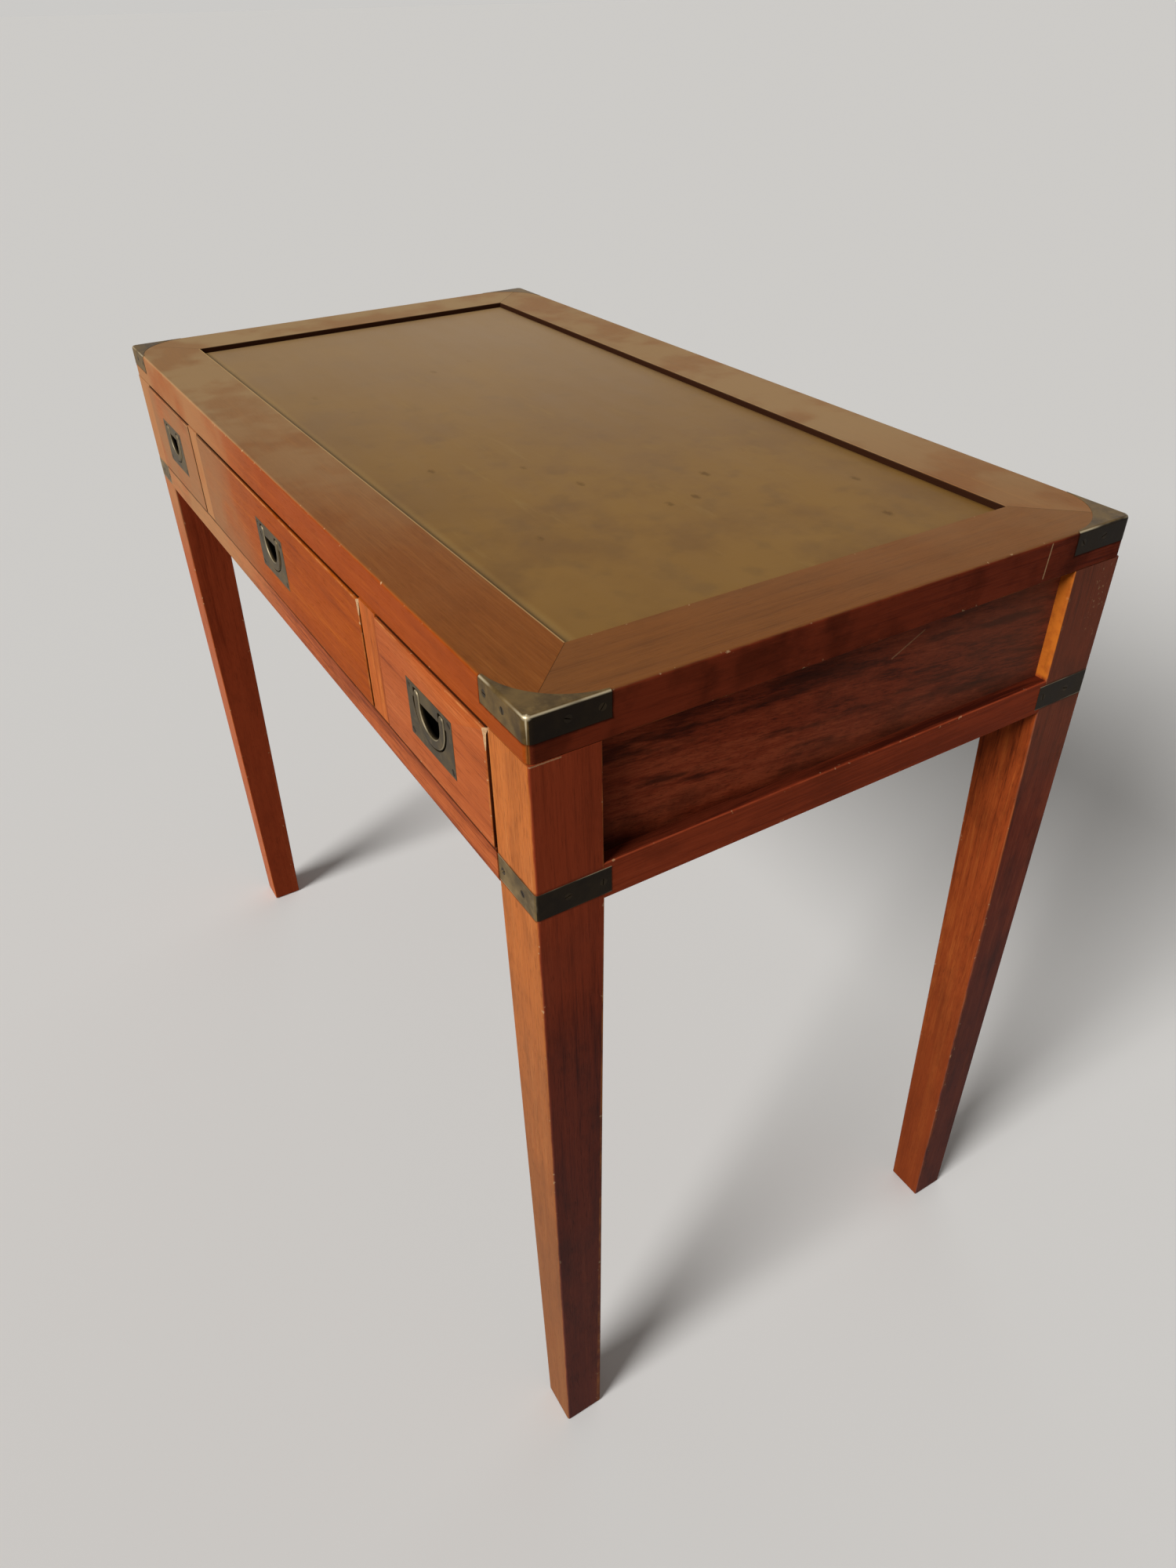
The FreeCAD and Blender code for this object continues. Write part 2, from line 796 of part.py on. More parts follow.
for corner in legs:
    save("leg_" + corner, legs[corner].cut(joined).cut(strap_seats).cut(holes))
    save("leg_strap_" + corner, straps[corner].cut(holes))
    save("corner_cap_" + corner, caps[corner].cut(holes))
for side, rail in rails.items():
    save("rail_" + side, rail.cut(runner_seats).cut(divider_seats).cut(strap_seats).cut(holes))
for side, board in boards.items():
    save("board_" + side, board)
for side, post in dividers.items():
    save("divider_" + side, post)
for side, strip in runners.items():
    save("runner_" + side, strip)
for side, member in mitred_members(top_frame()).items():
    for seat in top_seats:
        member = member.cut(seat)
    save("top_" + side, member)

save("top_panel", panel)
save("leather_surface", leather())
save("mitre_splines", Part.Compound(list(splines.values())))
save("drawer_guides", drawer_guides())
save("drawer_kickers", drawer_kickers())
save("drawer_stops", drawer_stops(list(openings.values())))
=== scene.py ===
# %% [markdown]
# # A campaign desk: finish, leather and brass
#
# The desk comes from CAD as a set of separate, named solids that never move.
# This lesson gives every one of them its finish, models the leather and the knocks of long use,
# lights it in a plain studio and sets the camera.
# Sizes are in metres. Places come from the boxes of the CAD pieces, or are given in the desk's own
# frame: x runs to its right, y to its back and z up from the floor.

import math

import bpy
from mathutils import Matrix, Vector


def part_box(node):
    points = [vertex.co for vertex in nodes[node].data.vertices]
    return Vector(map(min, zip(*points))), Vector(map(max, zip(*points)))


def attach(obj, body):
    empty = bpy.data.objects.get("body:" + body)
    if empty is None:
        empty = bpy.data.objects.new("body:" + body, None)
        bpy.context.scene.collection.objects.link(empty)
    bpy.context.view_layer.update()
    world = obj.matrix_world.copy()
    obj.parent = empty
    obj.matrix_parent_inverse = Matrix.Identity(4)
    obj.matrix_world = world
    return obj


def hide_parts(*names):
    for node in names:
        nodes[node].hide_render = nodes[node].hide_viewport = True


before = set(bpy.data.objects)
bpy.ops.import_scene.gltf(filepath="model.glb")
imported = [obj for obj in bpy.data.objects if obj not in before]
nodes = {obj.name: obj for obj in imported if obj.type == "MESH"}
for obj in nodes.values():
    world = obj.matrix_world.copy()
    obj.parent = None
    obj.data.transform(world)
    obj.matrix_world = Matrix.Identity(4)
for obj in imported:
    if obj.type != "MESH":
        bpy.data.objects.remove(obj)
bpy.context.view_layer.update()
bpy.context.scene.view_settings.view_transform = "Standard"

# %% [markdown]
# ## The camera
#
# The view is from the right of the desk, looking down at its near front corner.
# A camera looks along its own -Z axis, and its rotation could be typed as three angles.
# Here it is built from three directions, right, up and backwards, so that it follows from the two
# points that say where the camera stands and what it looks at.
# The picture is upright, so the lens is given for the tall side.

# %% Camera
CAMERA_PLACE = Vector((0.8457, -0.4386, 1.0573))
CAMERA_AIM = Vector((0.1892, -0.0514, 0.5))
CAMERA_ROLL = math.radians(-1.32)
CAMERA_LENS = 24.79
CAMERA_SENSOR = 36

ahead = (CAMERA_AIM - CAMERA_PLACE).normalized()
level = ahead.cross(Vector((0, 0, 1))).normalized()
upward = level.cross(ahead)
right = level * math.cos(CAMERA_ROLL) + upward * math.sin(CAMERA_ROLL)
up = upward * math.cos(CAMERA_ROLL) - level * math.sin(CAMERA_ROLL)

camera_data = bpy.data.cameras.new("camera")
camera_data.sensor_fit = "VERTICAL"
camera_data.sensor_height = CAMERA_SENSOR
camera_data.lens = CAMERA_LENS
camera = bpy.data.objects.new("camera", camera_data)
turn = Matrix((right, up, -ahead)).transposed().to_4x4()
camera.matrix_world = Matrix.Translation(CAMERA_PLACE) @ turn
bpy.context.collection.objects.link(camera)
bpy.context.scene.camera = camera
print("camera", (CAMERA_AIM - CAMERA_PLACE).length, "m from the point it looks at")

# %% [markdown]
# ## Writing shaders as sums
#
# A finish is a web of small nodes. In the Shader Editor they are placed and joined by hand, and a script
# that did the same would take several lines a node. To keep it readable, one class wraps a socket:
# adding, multiplying or dividing two of them adds the Math node that does it.
# Any other node comes from its method `node`, which takes the node's type,
# its settings, and what goes into its sockets.


# %% A socket that can be used in sums
class Wire:
    """One output socket of a shader tree."""

    def __init__(self, tree, socket=None):
        self.tree = tree
        self.socket = socket

    def node(self, kind, settings=None, inputs=None, output=0):
        made = self.tree.nodes.new(kind)
        for name, value in (settings or {}).items():
            setattr(made, name, value)
        for name, value in (inputs or {}).items():
            if isinstance(value, Wire):
                self.tree.links.new(value.socket, made.inputs[name])
            else:
                made.inputs[name].default_value = value
        return Wire(self.tree, made.outputs[output])

    def maths(self, operation, first, second=0.0):
        return self.node("ShaderNodeMath", {"operation": operation}, {0: first, 1: second})

    def __add__(self, other):
        return self.maths("ADD", self, other)

    def __radd__(self, other):
        return self.maths("ADD", other, self)

    def __sub__(self, other):
        return self.maths("SUBTRACT", self, other)

    def __rsub__(self, other):
        return self.maths("SUBTRACT", other, self)

    def __mul__(self, other):
        return self.maths("MULTIPLY", self, other)

    def __rmul__(self, other):
        return self.maths("MULTIPLY", other, self)

    def __truediv__(self, other):
        return self.maths("DIVIDE", self, other)

    def __rtruediv__(self, other):
        return self.maths("DIVIDE", other, self)

    def __abs__(self):
        return self.maths("ABSOLUTE", self)


print("Wire ready")

# %% [markdown]
# Short names for the nodes that come up again and again. `rise` and `fall` are soft thresholds,
# `ragged` makes a distance uneven, so that its threshold gets a natural outline,
# and `colour` takes the 0 to 255 values of a picture editor and gives the linear ones of light.


# %% Shader words
def least(a, b):
    return a.maths("MINIMUM", a, b)


def most(a, b):
    return a.maths("MAXIMUM", a, b)


def rise(value, low, high):
    """0 below low, 1 above high, smooth between."""
    settings = {"interpolation_type": "SMOOTHSTEP"}
    return value.node("ShaderNodeMapRange", settings, {0: value, 1: low, 2: high})


def fall(value, low, high):
    """1 below low, 0 above high, smooth between."""
    return 1 - rise(value, low, high)


def mix(factor, a, b):
    """Colour a where factor is 0, colour b where it is 1."""
    return factor.node("ShaderNodeMix", {"data_type": "RGBA"}, {0: factor, 6: a, 7: b}, 2)


def noise(vector, scale, detail=2.0, roughness=0.5):
    inputs = {"Vector": vector, "Scale": scale, "Detail": detail, "Roughness": roughness}
    return vector.node("ShaderNodeTexNoise", None, inputs)


def ragged(value, pattern, reach):
    """The value, pushed up and down by a pattern of noise."""
    return value + (pattern - 0.5) * reach


def cells(vector, scale):
    """Distance to the nearest of a scatter of points, in cells."""
    return vector.node("ShaderNodeTexVoronoi", None, {"Vector": vector, "Scale": scale})


def stretched(x, y, z):
    return x.node("ShaderNodeCombineXYZ", None, {0: x, 1: y, 2: z})


def vectors(operation, wire, inputs, output=0):
    return wire.node("ShaderNodeVectorMath", {"operation": operation}, inputs, output)


def bump(height, strength, distance):
    inputs = {"Height": height, "Strength": strength, "Distance": distance}
    return height.node("ShaderNodeBump", None, inputs)


def colour(red, green, blue):
    linear = []
    for part in (red, green, blue):
        share = part / 255
        linear.append(share / 12.92 if share <= 0.04045 else ((share + 0.055) / 1.055) ** 2.4)
    return (*linear, 1.0)


print("shader words ready")

# %% [markdown]
# Three more words start a material, fill one of its sockets and put it on a CAD piece.
# A socket takes either a wire or a plain value.


# %% Material words
def start_finish(name):
    """A new material: its main shader, object coordinates, and those split into x, y and z."""
    material = bpy.data.materials.new(name)
    material.use_nodes = True
    tree = material.node_tree
    shader = tree.nodes["Principled BSDF"]
    place = Wire(tree).node("ShaderNodeTexCoord", None, None, "Object")
    axes = [place.node("ShaderNodeSeparateXYZ", None, {0: place}, i) for i in range(3)]
    return material, shader, place, axes


def plug(shader, name, value):
    if isinstance(value, Wire):
        value.tree.links.new(value.socket, shader.inputs[name])
    else:
        shader.inputs[name].default_value = value


def dress(node, material):
    nodes[node].data.materials.clear()
    nodes[node].data.materials.append(material)


print("material words ready")

# %% [markdown]
# ## The studio
#
# The light comes from in front and a little to the right: the drawer side is bright,
# the right side only gets grazing light, and the shadows run back and to the left.
# Area lamps near the desk could do that, but their light fades with distance. A sun lamp with a wide
# angle lights every piece alike and still gives soft shadows, and a weak one behind keeps the far
# sides readable.
# The floor and the world look pale to the camera, straight or in a reflection,
# but give the desk much less light than that, so the shaded side stays dark.

# %% Floor, lights and world
KEY_FROM = Vector((0.17, -0.82, 0.55))
KEY_STRENGTH = 3.3
KEY_ANGLE = math.radians(24)
RIM_FROM = Vector((-0.6, 0.7, 0.4))
RIM_STRENGTH = 0.35
RIM_ANGLE = math.radians(60)
FLOOR_SIZE = 400.0
FLOOR_SEEN = (0.8, 0.785, 0.76, 1)
FLOOR_BOUNCE = (0.3, 0.29, 0.28, 1)
BACKDROP = (0.6, 0.59, 0.572, 1)
FILL = (0.14, 0.137, 0.132, 1)


def seen(wire):
    """1 for what the camera sees, straight or mirrored, and 0 for light on its way to the desk."""
    rays = ("Is Camera Ray", "Is Glossy Ray", "Is Transmission Ray")
    straight, mirrored, through = (wire.node("ShaderNodeLightPath", None, None, ray) for ray in rays)
    return most(most(straight, mirrored), through)


bpy.ops.mesh.primitive_plane_add(size=FLOOR_SIZE)
floor = bpy.context.object
floor.name = "studio_floor"
floor_paint, floor_shader, place, axes = start_finish("floor_paint")
plug(floor_shader, "Base Color", mix(seen(place), FLOOR_BOUNCE, FLOOR_SEEN))
plug(floor_shader, "Roughness", 1.0)
plug(floor_shader, "Specular IOR Level", 0.0)
floor.data.materials.append(floor_paint)


def sun(name, source, strength, angle):
    lamp = bpy.data.lights.new(name, "SUN")
    lamp.energy = strength
    lamp.angle = angle
    made = bpy.data.objects.new(name, lamp)
    made.rotation_euler = source.to_track_quat("Z", "Y").to_euler()
    bpy.context.collection.objects.link(made)


sun("key", KEY_FROM, KEY_STRENGTH, KEY_ANGLE)
sun("rim", RIM_FROM, RIM_STRENGTH, RIM_ANGLE)

world = bpy.data.worlds.new("studio")
world.use_nodes = True
bpy.context.scene.world = world
backdrop = world.node_tree.nodes["Background"]
plug(backdrop, "Color", mix(seen(Wire(world.node_tree)), FILL, BACKDROP))
print("two lamps, one pale world, one floor")

# %% [markdown]
# ## Sizes of the desk
#
# Every finish below needs to know where the desk's faces, edges and joints are.
# These numbers could be typed in, but read from the boxes of the CAD pieces they are always true.

# %% Sizes from the frame
DRAWERS = ("left", "centre", "right")
CORNERS = ("front_left", "front_right", "back_left", "back_right")
FOOT_SLICE = 0.001

top_low, top_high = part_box("top_front")
back_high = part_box("top_back")[1]
side_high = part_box("top_right")[1]
leg_low, leg_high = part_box("leg_front_right")
strap_low, strap_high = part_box("leg_strap_front_right")
cap_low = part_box("corner_cap_front_right")[0]
drawer_low, drawer_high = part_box("centre_drawer_front")
RAIL_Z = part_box("rail_front")[0].z
LEDGE_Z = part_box("rail_right")[1].z
BOARD_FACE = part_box("board_right")[1].x

HALF_WIDTH = side_high.x
FRONT_Y = top_low.y
BACK_Y = back_high.y
MID_Y = (FRONT_Y + BACK_Y) / 2
HALF_DEPTH = BACK_Y - MID_Y
TOP_Z = top_high.z
FRAME_WIDTH = top_high.y - top_low.y
CAP_LENGTH = HALF_WIDTH - cap_low.x
LEG_TOP = leg_high.x - leg_low.x
foot_x = [v.co.x for v in nodes["leg_front_right"].data.vertices if v.co.z < FOOT_SLICE]
LEG_FOOT = max(foot_x) - min(foot_x)
print("top", HALF_WIDTH * 2, "by", BACK_Y - FRONT_Y, "m, legs", LEG_TOP, "to", LEG_FOOT, "m")

# %% [markdown]
# ## Where the edges are
#
# Polish wears first along the edges. Blender can guess them from the mesh, but the guess depends on how
# the mesh is cut up, so here the distance to an edge is worked out. For a box it is the middle one
# of its distances to the three pairs of faces.
# A leg needs its own rule, because its two inner faces lean below the rails.


# %% Edge distances
def inward(axes):
    """How far in from the nearer end of the desk, and how far in from its front or back."""
    return HALF_WIDTH - abs(axes[0]), HALF_DEPTH - abs(axes[1] - MID_Y)


def middle_one(a, b, c):
    return most(least(a, b), least(most(a, b), c))


def box_edge_gap(low, high):
    def gap(axes):
        return middle_one(*(least(axis - low[i], high[i] - axis) for i, axis in enumerate(axes)))

    return gap


def leg_edge_gap(axes):
    from_end, from_side = inward(axes)
    size = LEG_FOOT + (LEG_TOP - LEG_FOOT) * least(axes[2] / RAIL_Z, 1.0)
    return most(least(from_end, size - from_end), least(from_side, size - from_side))


def no_edge(axes):
    """For a piece whose edges are hidden or stay dull: a metre away from any edge."""
    return axes[0] * 0.0 + 1.0


print("edge distances ready")

# %% [markdown]
# The faces matter as much as the edges: the front is faded, the ends are darker, partly as painted shade,
# and the top is dull.
# The direction of a surface could tell them apart, but not the front of the desk from the front of a
# back leg. So each word below is 1 at one outer face and falls to 0 just under it.

# %% Faces
FACE_NEAR = 0.0004
FACE_FAR = 0.0012


def on_top(axes):
    return rise(axes[2], TOP_Z - FACE_FAR, TOP_Z - FACE_NEAR)


def on_end(axes):
    return rise(abs(axes[0]), HALF_WIDTH - FACE_FAR, HALF_WIDTH - FACE_NEAR)


def on_front(axes):
    return fall(axes[1], FRONT_Y + FACE_NEAR, FRONT_Y + FACE_FAR)


def on_back(axes):
    return rise(axes[1], BACK_Y - FACE_FAR, BACK_Y - FACE_NEAR)


print("faces ready")

# %% [markdown]
# ## Marks
#
# A mark says how strongly a colour shows at a place, from 0 to 1. Marks could be painted on a picture,
# but worked out from coordinates they stay sharp up close and sit at the right spot on every board.
# Each is a function that a finish calls with its coordinates. A scratch is a thin band round
# a line between two points, and a seam is a thin dark band where two boards meet.
# The well is the recess in the top that holds the leather: its wall is painted dark as shade.
# A pair of numbers, such as SEAM_WIDTH, says where a soft threshold starts and where it ends.

# %% Scratches, seams and the well
SCRATCH_ROUGH = 900.0
SCRATCH_CORE = 0.3
SEAM_WIDTH = (0.0001, 0.0005)
WALL_SHADE_START = (-0.0001, 0.0002)
BEVEL_OUTSIDE = (-0.002, -0.0014)
BEVEL_INSIDE = (-0.0002, 0.0001)
BEVEL_FADE = 0.001


def scratch(start, end, width, strength):
    """A thin line from start to end, full in its core and ragged at its rim."""
    start, end = Vector(start), Vector(end)
    along = end - start

    def mark(place, axes):
        away = vectors("SUBTRACT", place, {0: place, 1: start})
        share = vectors("DOT_PRODUCT", away, {0: away, 1: along}, "Value") / along.length_squared
        foot = vectors("SCALE", away, {0: along, "Scale": most(least(share, 1.0), 0.0)})
        side = vectors("DISTANCE", away, {0: away, 1: foot}, "Value")
        side = ragged(side, noise(place, SCRATCH_ROUGH, 2), width)
        return fall(side, width * SCRATCH_CORE, width) * strength

    return mark


def mitre_seam(place, axes):
    from_end, from_side = inward(axes)
    return fall(abs(from_end - from_side), *SEAM_WIDTH) * 0.65


def well_wall_shade(reach):
    """The wall round the leather, painted dark as shade, and as much of its bevel as reach takes in."""

    def mark(place, axes):
        return rise(least(*inward(axes)) + (reach - FRAME_WIDTH), *WALL_SHADE_START) * 0.95

    return mark


def well_bevel_highlight(place, axes):
    """A painted highlight on the edge of the well, along the front of the leather."""
    from_end, from_side = inward(axes)
    inside = from_side - FRAME_WIDTH
    along = rise(from_end, FRAME_WIDTH - BEVEL_FADE, FRAME_WIDTH)
    # the strength of the painted highlight, broken up by noise
    rub_and_highlight = 0.4 + noise(place, 40.0, 3) * 0.5
    return rise(inside, *BEVEL_OUTSIDE) * fall(inside, *BEVEL_INSIDE) * along * rub_and_highlight


print("scratches and seams ready")

# %% [markdown]
# Old polish and dust have gathered where a cloth does not reach: behind the drawer fronts, under them,
# on the ledges, in the corners of the panels and round the brass. Behind and under the drawers, on the
# ledges and in the corners of the panels the darkening is also painted shade. Blender's Ambient Occlusion
# node finds such places too, but it darkens every corner alike and slows the render.
# So each of these is a distance from a joint, made ragged and cut off softly.

# %% Dirt
DRAWER_TOP = (0.0008, 0.0003)
DRAWER_TOP_SETBACK = 0.0012
DRAWER_DIRT_SHADE_START = (0.0004, 0.001)
DRAWER_DIRT_SHADE_END = (0.004, 0.008)
RAIL_DIRT_SHADE = (0.0016, 0.0032)
LEDGE_TOP = (0.0005, 0.0001)
LEDGE_ROUND = (0.0025, 0.0012)
CORNER_DIRT_SHADE = (0.008, 0.036)
FOOT_DIRT_SHADE = (0.001, 0.01)
FRONT_DIRT_SHADE = (0.0, 0.03)
BRASS_DIRT = (0.0002, 0.0022)
CAP_UPRIGHT = (0.0008, 0.0018)


def drawer_dirt_and_shade(place, axes):
    """Dark sides just behind the face of a drawer, and a dark top a little further in: dirt and painted
    shade.
    """
    upper = rise(axes[2], *(drawer_high.z - below for below in DRAWER_TOP))
    depth = axes[1] - drawer_low.y - upper * DRAWER_TOP_SETBACK
    return rise(depth, *DRAWER_DIRT_SHADE_START) * fall(depth, *DRAWER_DIRT_SHADE_END) * 0.85


def rail_dirt_and_shade(place, axes):
    """Old polish and painted shade on the front or back rail, close under its top."""
    below = ragged(LEDGE_Z - axes[2], noise(place, 60.0, 3), 0.002)
    return fall(below, *RAIL_DIRT_SHADE) * 0.7


def ledge_dirt_and_shade(place, axes):
    """Old polish and painted shade on the ledge below a side panel, as far as its rounded edge."""
    on_ledge = rise(axes[2], *(LEDGE_Z - below for below in LEDGE_TOP))
    return on_ledge * fall(abs(axes[0]), *(HALF_WIDTH - inside for inside in LEDGE_ROUND)) * 0.45


def panel_dirt_and_shade(place, axes):
    """Old polish and painted shade in the lower front corner of a side panel, thinner along its foot and
    its front end.
    """
    height = ragged(axes[2] - LEDGE_Z, noise(place, 30.0, 3), 0.012)
    length = ragged(axes[1] - FRONT_Y - LEG_TOP, noise(place, 25.0, 3), 0.03)
    corner = fall(height + length * 0.5, *CORNER_DIRT_SHADE) * 0.85
    return most(corner, most(fall(height, *FOOT_DIRT_SHADE), fall(length, *FRONT_DIRT_SHADE)) * 0.3)


def strap_dirt(place, axes):
    """Old polish above and below the strap of a leg."""
    away = most(strap_low.z - axes[2], axes[2] - strap_high.z)
    return fall(ragged(away, noise(place, 200.0, 3), 0.002), *BRASS_DIRT) * 0.75


def cap_dirt(place, axes):
    """Old polish round the two upright faces of a corner cap."""
    from_end, from_side = inward(axes)
    away = most(cap_low.z - axes[2], most(from_end, from_side) - CAP_LENGTH)
    upright = fall(least(from_end, from_side), *CAP_UPRIGHT)
    return fall(ragged(away, noise(place, 200.0, 3), 0.002), *BRASS_DIRT) * upright * 0.75


def end_grime(place, axes):
    """Handled edges at the two ends of the top."""
    return on_end(axes) * (0.15 + rise(noise(place, 35.0, 4), 0.4, 0.65) * 0.35)


print("dirt ready")

# %% [markdown]
# Pale clouds lie over the desk, most towards the far left corner of the top and the left end of the front:
# on the top fading and painted sheen, on the front painted sheen. Elsewhere the polish has gone dull,
# and the ends carry a redder band of painted light at the height of the drawers.
# Colours painted on the vertices could show it, but a flat board has hardly any vertices,
# so it is a soft threshold across the desk, broken up by noise.

# %% Faded and dull places
FADE_SHEEN_REACH = (0.1, 0.72)
FADE_SHEEN_BACKWARD = 0.9
FRONT_SHEEN_X = (-0.28, 0.08)
FRONT_SHEEN_DEPTH = (0.001, 0.002)
HAZE_Y = (-0.1, 0.2)
END_LIGHT_Z = (0.5, 0.64)


def fade_and_sheen(strength):
    """The top is paler, most towards its far left corner: fading and painted sheen."""

    def mark(place, axes):
        away = HALF_WIDTH - axes[0] + (axes[1] - FRONT_Y) * FADE_SHEEN_BACKWARD
        cloud = 0.5 + rise(noise(place, 17.0, 3), 0.36, 0.58) * 0.34
        spread = rise(ragged(away, noise(place, 9.0, 3), 0.2), *FADE_SHEEN_REACH)
        return spread * on_top(axes) * cloud * strength

    return mark


def dull_top(place, axes):
    """A thin veil of dried polish."""
    return on_top(axes) * 0.25


def front_sheen(place, axes):
    """Painted sheen on the left half of the front, pale and cloudy."""
    forward = fall(axes[1], *(FRONT_Y + depth for depth in FRONT_SHEEN_DEPTH))
    cloud = 0.42 + rise(noise(place, 15.0, 3), 0.36, 0.6) * 0.35
    return fall(ragged(axes[0], noise(place, 5.0, 2), 0.4), *FRONT_SHEEN_X) * forward * cloud


def end_haze(place, axes):
    """Dull polish towards the back of the two ends."""
    return rise(ragged(axes[1], noise(place, 12.0, 3), 0.2), *HAZE_Y) * 0.34


def end_light(place, axes):
    """Painted light on the ends of the desk: redder and lighter at the height of the drawers."""
    return on_end(axes) * rise(ragged(axes[2], noise(place, 30.0, 3), 0.1), *END_LIGHT_Z) * 0.3


print("faded places ready")

# %% [markdown]
# The legs carry marks of their own: a duller, darker tone that thins out upwards, a strip of painted light
# beside the panel on a back leg, and a few pale specks. Each is its own function, and not one long
# sum for all legs, so that a leg takes only the marks it needs.

# %% Marks of the legs
SPECKS_Y = (0.212, 0.222)
SPECKS_Z = (0.66, 0.7)
STRIP_DEPTH = (0.0005, 0.001)
STRIP_FADE = 0.004
LEG_SHEEN_Z = (0.5, 0.66)
LEG_HAZE_Z = (0.5, 0.62)
END_FOOT_Z = (0.2, 0.75)
NEAR_FOOT_Z = (0.2, 0.85)
REAR_FOOT_Z = (0.1, 0.72)


def foot_darkening(low, high):
    """Duller and darker on the front of a leg towards the floor: all over it below low and none above
    high.
    """

    def mark(place, axes):
        height = ragged(axes[2], noise(place, 18.0, 4, 0.6), 0.3)
        return fall(height, low, high) * (1 - on_end(axes)) * 0.78

    return mark


def end_foot_darkening(place, axes):
    """The same on the outer face of a leg."""
    return fall(ragged(axes[2], noise(place, 14.0, 3), 0.2), *END_FOOT_Z) * on_end(axes) * 0.55


def leg_sheen(place, axes):
    """Painted sheen on the top of a left leg, as on the drawers beside it."""
    return front_sheen(place, axes) * rise(axes[2], *LEG_SHEEN_Z)


def leg_haze(place, axes):
    """Dull polish on the outer face of a back leg, near its top."""
    return end_haze(place, axes) * on_end(axes) * rise(axes[2], *LEG_HAZE_Z)


def leg_specks(place, axes):
    """Pale specks near the top of the rear right leg."""
    near_top = rise(axes[2], *SPECKS_Z) * rise(axes[1], *SPECKS_Y)
    return near_top * rise(noise(place, 420.0, 2), 0.62, 0.72) * 0.35


def leg_strip_light(place, axes):
    """Painted light on the front of a rear leg, beside the panel, mottled."""
    off_face = abs(axes[1] - (BACK_Y - LEG_TOP))
    mottle = 0.55 + rise(noise(place, 90.0, 4, 0.6), 0.35, 0.6) * 0.45
    return fall(off_face, *STRIP_DEPTH) * rise(axes[2], LEDGE_Z, LEDGE_Z + STRIP_FADE) * mottle


print("marks of the legs ready")

# %% [markdown]
# ## Polished red-brown hardwood
#
# A picture of veneer could be wrapped round each board, but it would repeat. Noise stretched along the
# board gives each one a figure of its own. Broad bands of colour, streaks and fibres make the figure,
# and dark ribbons and short pores cross it. Blots of old polish lie over them, then come worn edges,
# small knocks, and the marks that a board is given: pairs of a mark and its colour.
# Each set of tones runs from deep to pale.

# %% Wood tones
SUNNED = (colour(114, 42, 6), colour(160, 71, 11), colour(186, 94, 26))
FADED = (colour(168, 84, 34), colour(202, 114, 52), colour(218, 136, 72))
EDGE = (colour(114, 42, 11), colour(157, 69, 18), colour(181, 89, 30))
# darker tones of the ends, sides and back: partly the wood's own colour, partly painted shade
SHADED = (colour(78, 26, 15), colour(130, 52, 29), colour(152, 69, 41))
WARM = (colour(128, 56, 24), colour(180, 91, 44), colour(206, 118, 66))
GOLDEN = (colour(148, 66, 24), colour(190, 97, 38), colour(210, 121, 56))
REAR = (colour(96, 36, 14), colour(160, 71, 30), colour(186, 96, 42))
REDDER = (colour(120, 44, 22), colour(158, 66, 36), colour(178, 84, 46))
TABLE = (colour(106, 54, 20), colour(136, 77, 32), colour(154, 93, 42))
WOOD_RIBBON = colour(52, 18, 9)
WOOD_PORE = colour(58, 21, 10)
WOOD_WORN = colour(210, 140, 80)
WOOD_RAW = colour(214, 178, 132)
OLD_POLISH = colour(38, 14, 8)
# the dark of the mitre seams, also used as painted shade in gaps and corners
SEAM_AND_SHADE_DARK = colour(26, 12, 8)
# pale tones: fading and painted sheen on the top and the leather, painted sheen on the front and drawers
FADED_SHEEN_TONE = colour(168, 138, 99)
FRONT_SHEEN = colour(178, 134, 92)
DRAWER_SHEEN = colour(156, 121, 87)
# painted light for a strip of a rear leg
STRIP_LIGHT = colour(200, 110, 36)
# painted highlight on the bevel of the well
WELL_HIGHLIGHT = colour(206, 168, 112)
# painted shade on the wall of the well
WELL_WALL_SHADE = colour(40, 22, 14)
# duller, darker tones towards the floor on the legs
NEAR_FOOT_TONE = colour(116, 80, 58)
REAR_FOOT_TONE = colour(120, 54, 27)
HAZE = colour(130, 92, 74)
# painted light on the ends of the desk
END_LIGHT_TONE = colour(190, 82, 46)
END_FOOT_TONE = colour(72, 58, 58)
DULL = colour(118, 96, 66)
print("wood tones ready")

# %% [markdown]
# A board's grain has coordinates of its own: one along its fibres and two across. A Mapping node could
# turn the noise, but picking the axes in another order says the same and is easier to read.
# The seed moves them to another part of the noise, so that no two boards look alike,
# and a slow wave bends them.

# %% Grain
GRAIN = {"X": (0, 1, 2), "Y": (1, 0, 2), "Z": (2, 0, 1)}
SEED_STEPS = (1.73, 0.41, 0.67)
GRAIN_BEND = 0.014


def grain(fibres, along, across, detail, roughness=0.5):
    """Noise stretched along the fibres: along and across say how fine it is each way."""
    run, one, two = fibres
    return noise(stretched(run * along, one * across, two * across), 1.0, detail, roughness)


def board_fibres(axes, along, seed, slope):
    """Coordinates along and across the grain of one board."""
    run, one, two = (axes[i] for i in GRAIN[along])
    run = run + seed * SEED_STEPS[0]
    bend = (grain((run, one, two), 1.5, 5, 2) - 0.5) * GRAIN_BEND
    one = one + seed * SEED_STEPS[1] + bend + run * slope
    two = two + seed * SEED_STEPS[2] + bend + run * slope
    return run, one, two


print("grain ready")

# %% [markdown]
# The finish itself lays these patterns over each other, from the figure of the wood to the last scratch.
# Every layer mixes the tone so far with a new colour, so the order of the lines is the order
# in which the real surface came about. Where the wood is bare it is rougher and a little lower.

# %% Wood
WORN_WIDTH = (0.0003, 0.0013)
KNOCK_WIDTH = (0.0006, 0.003)


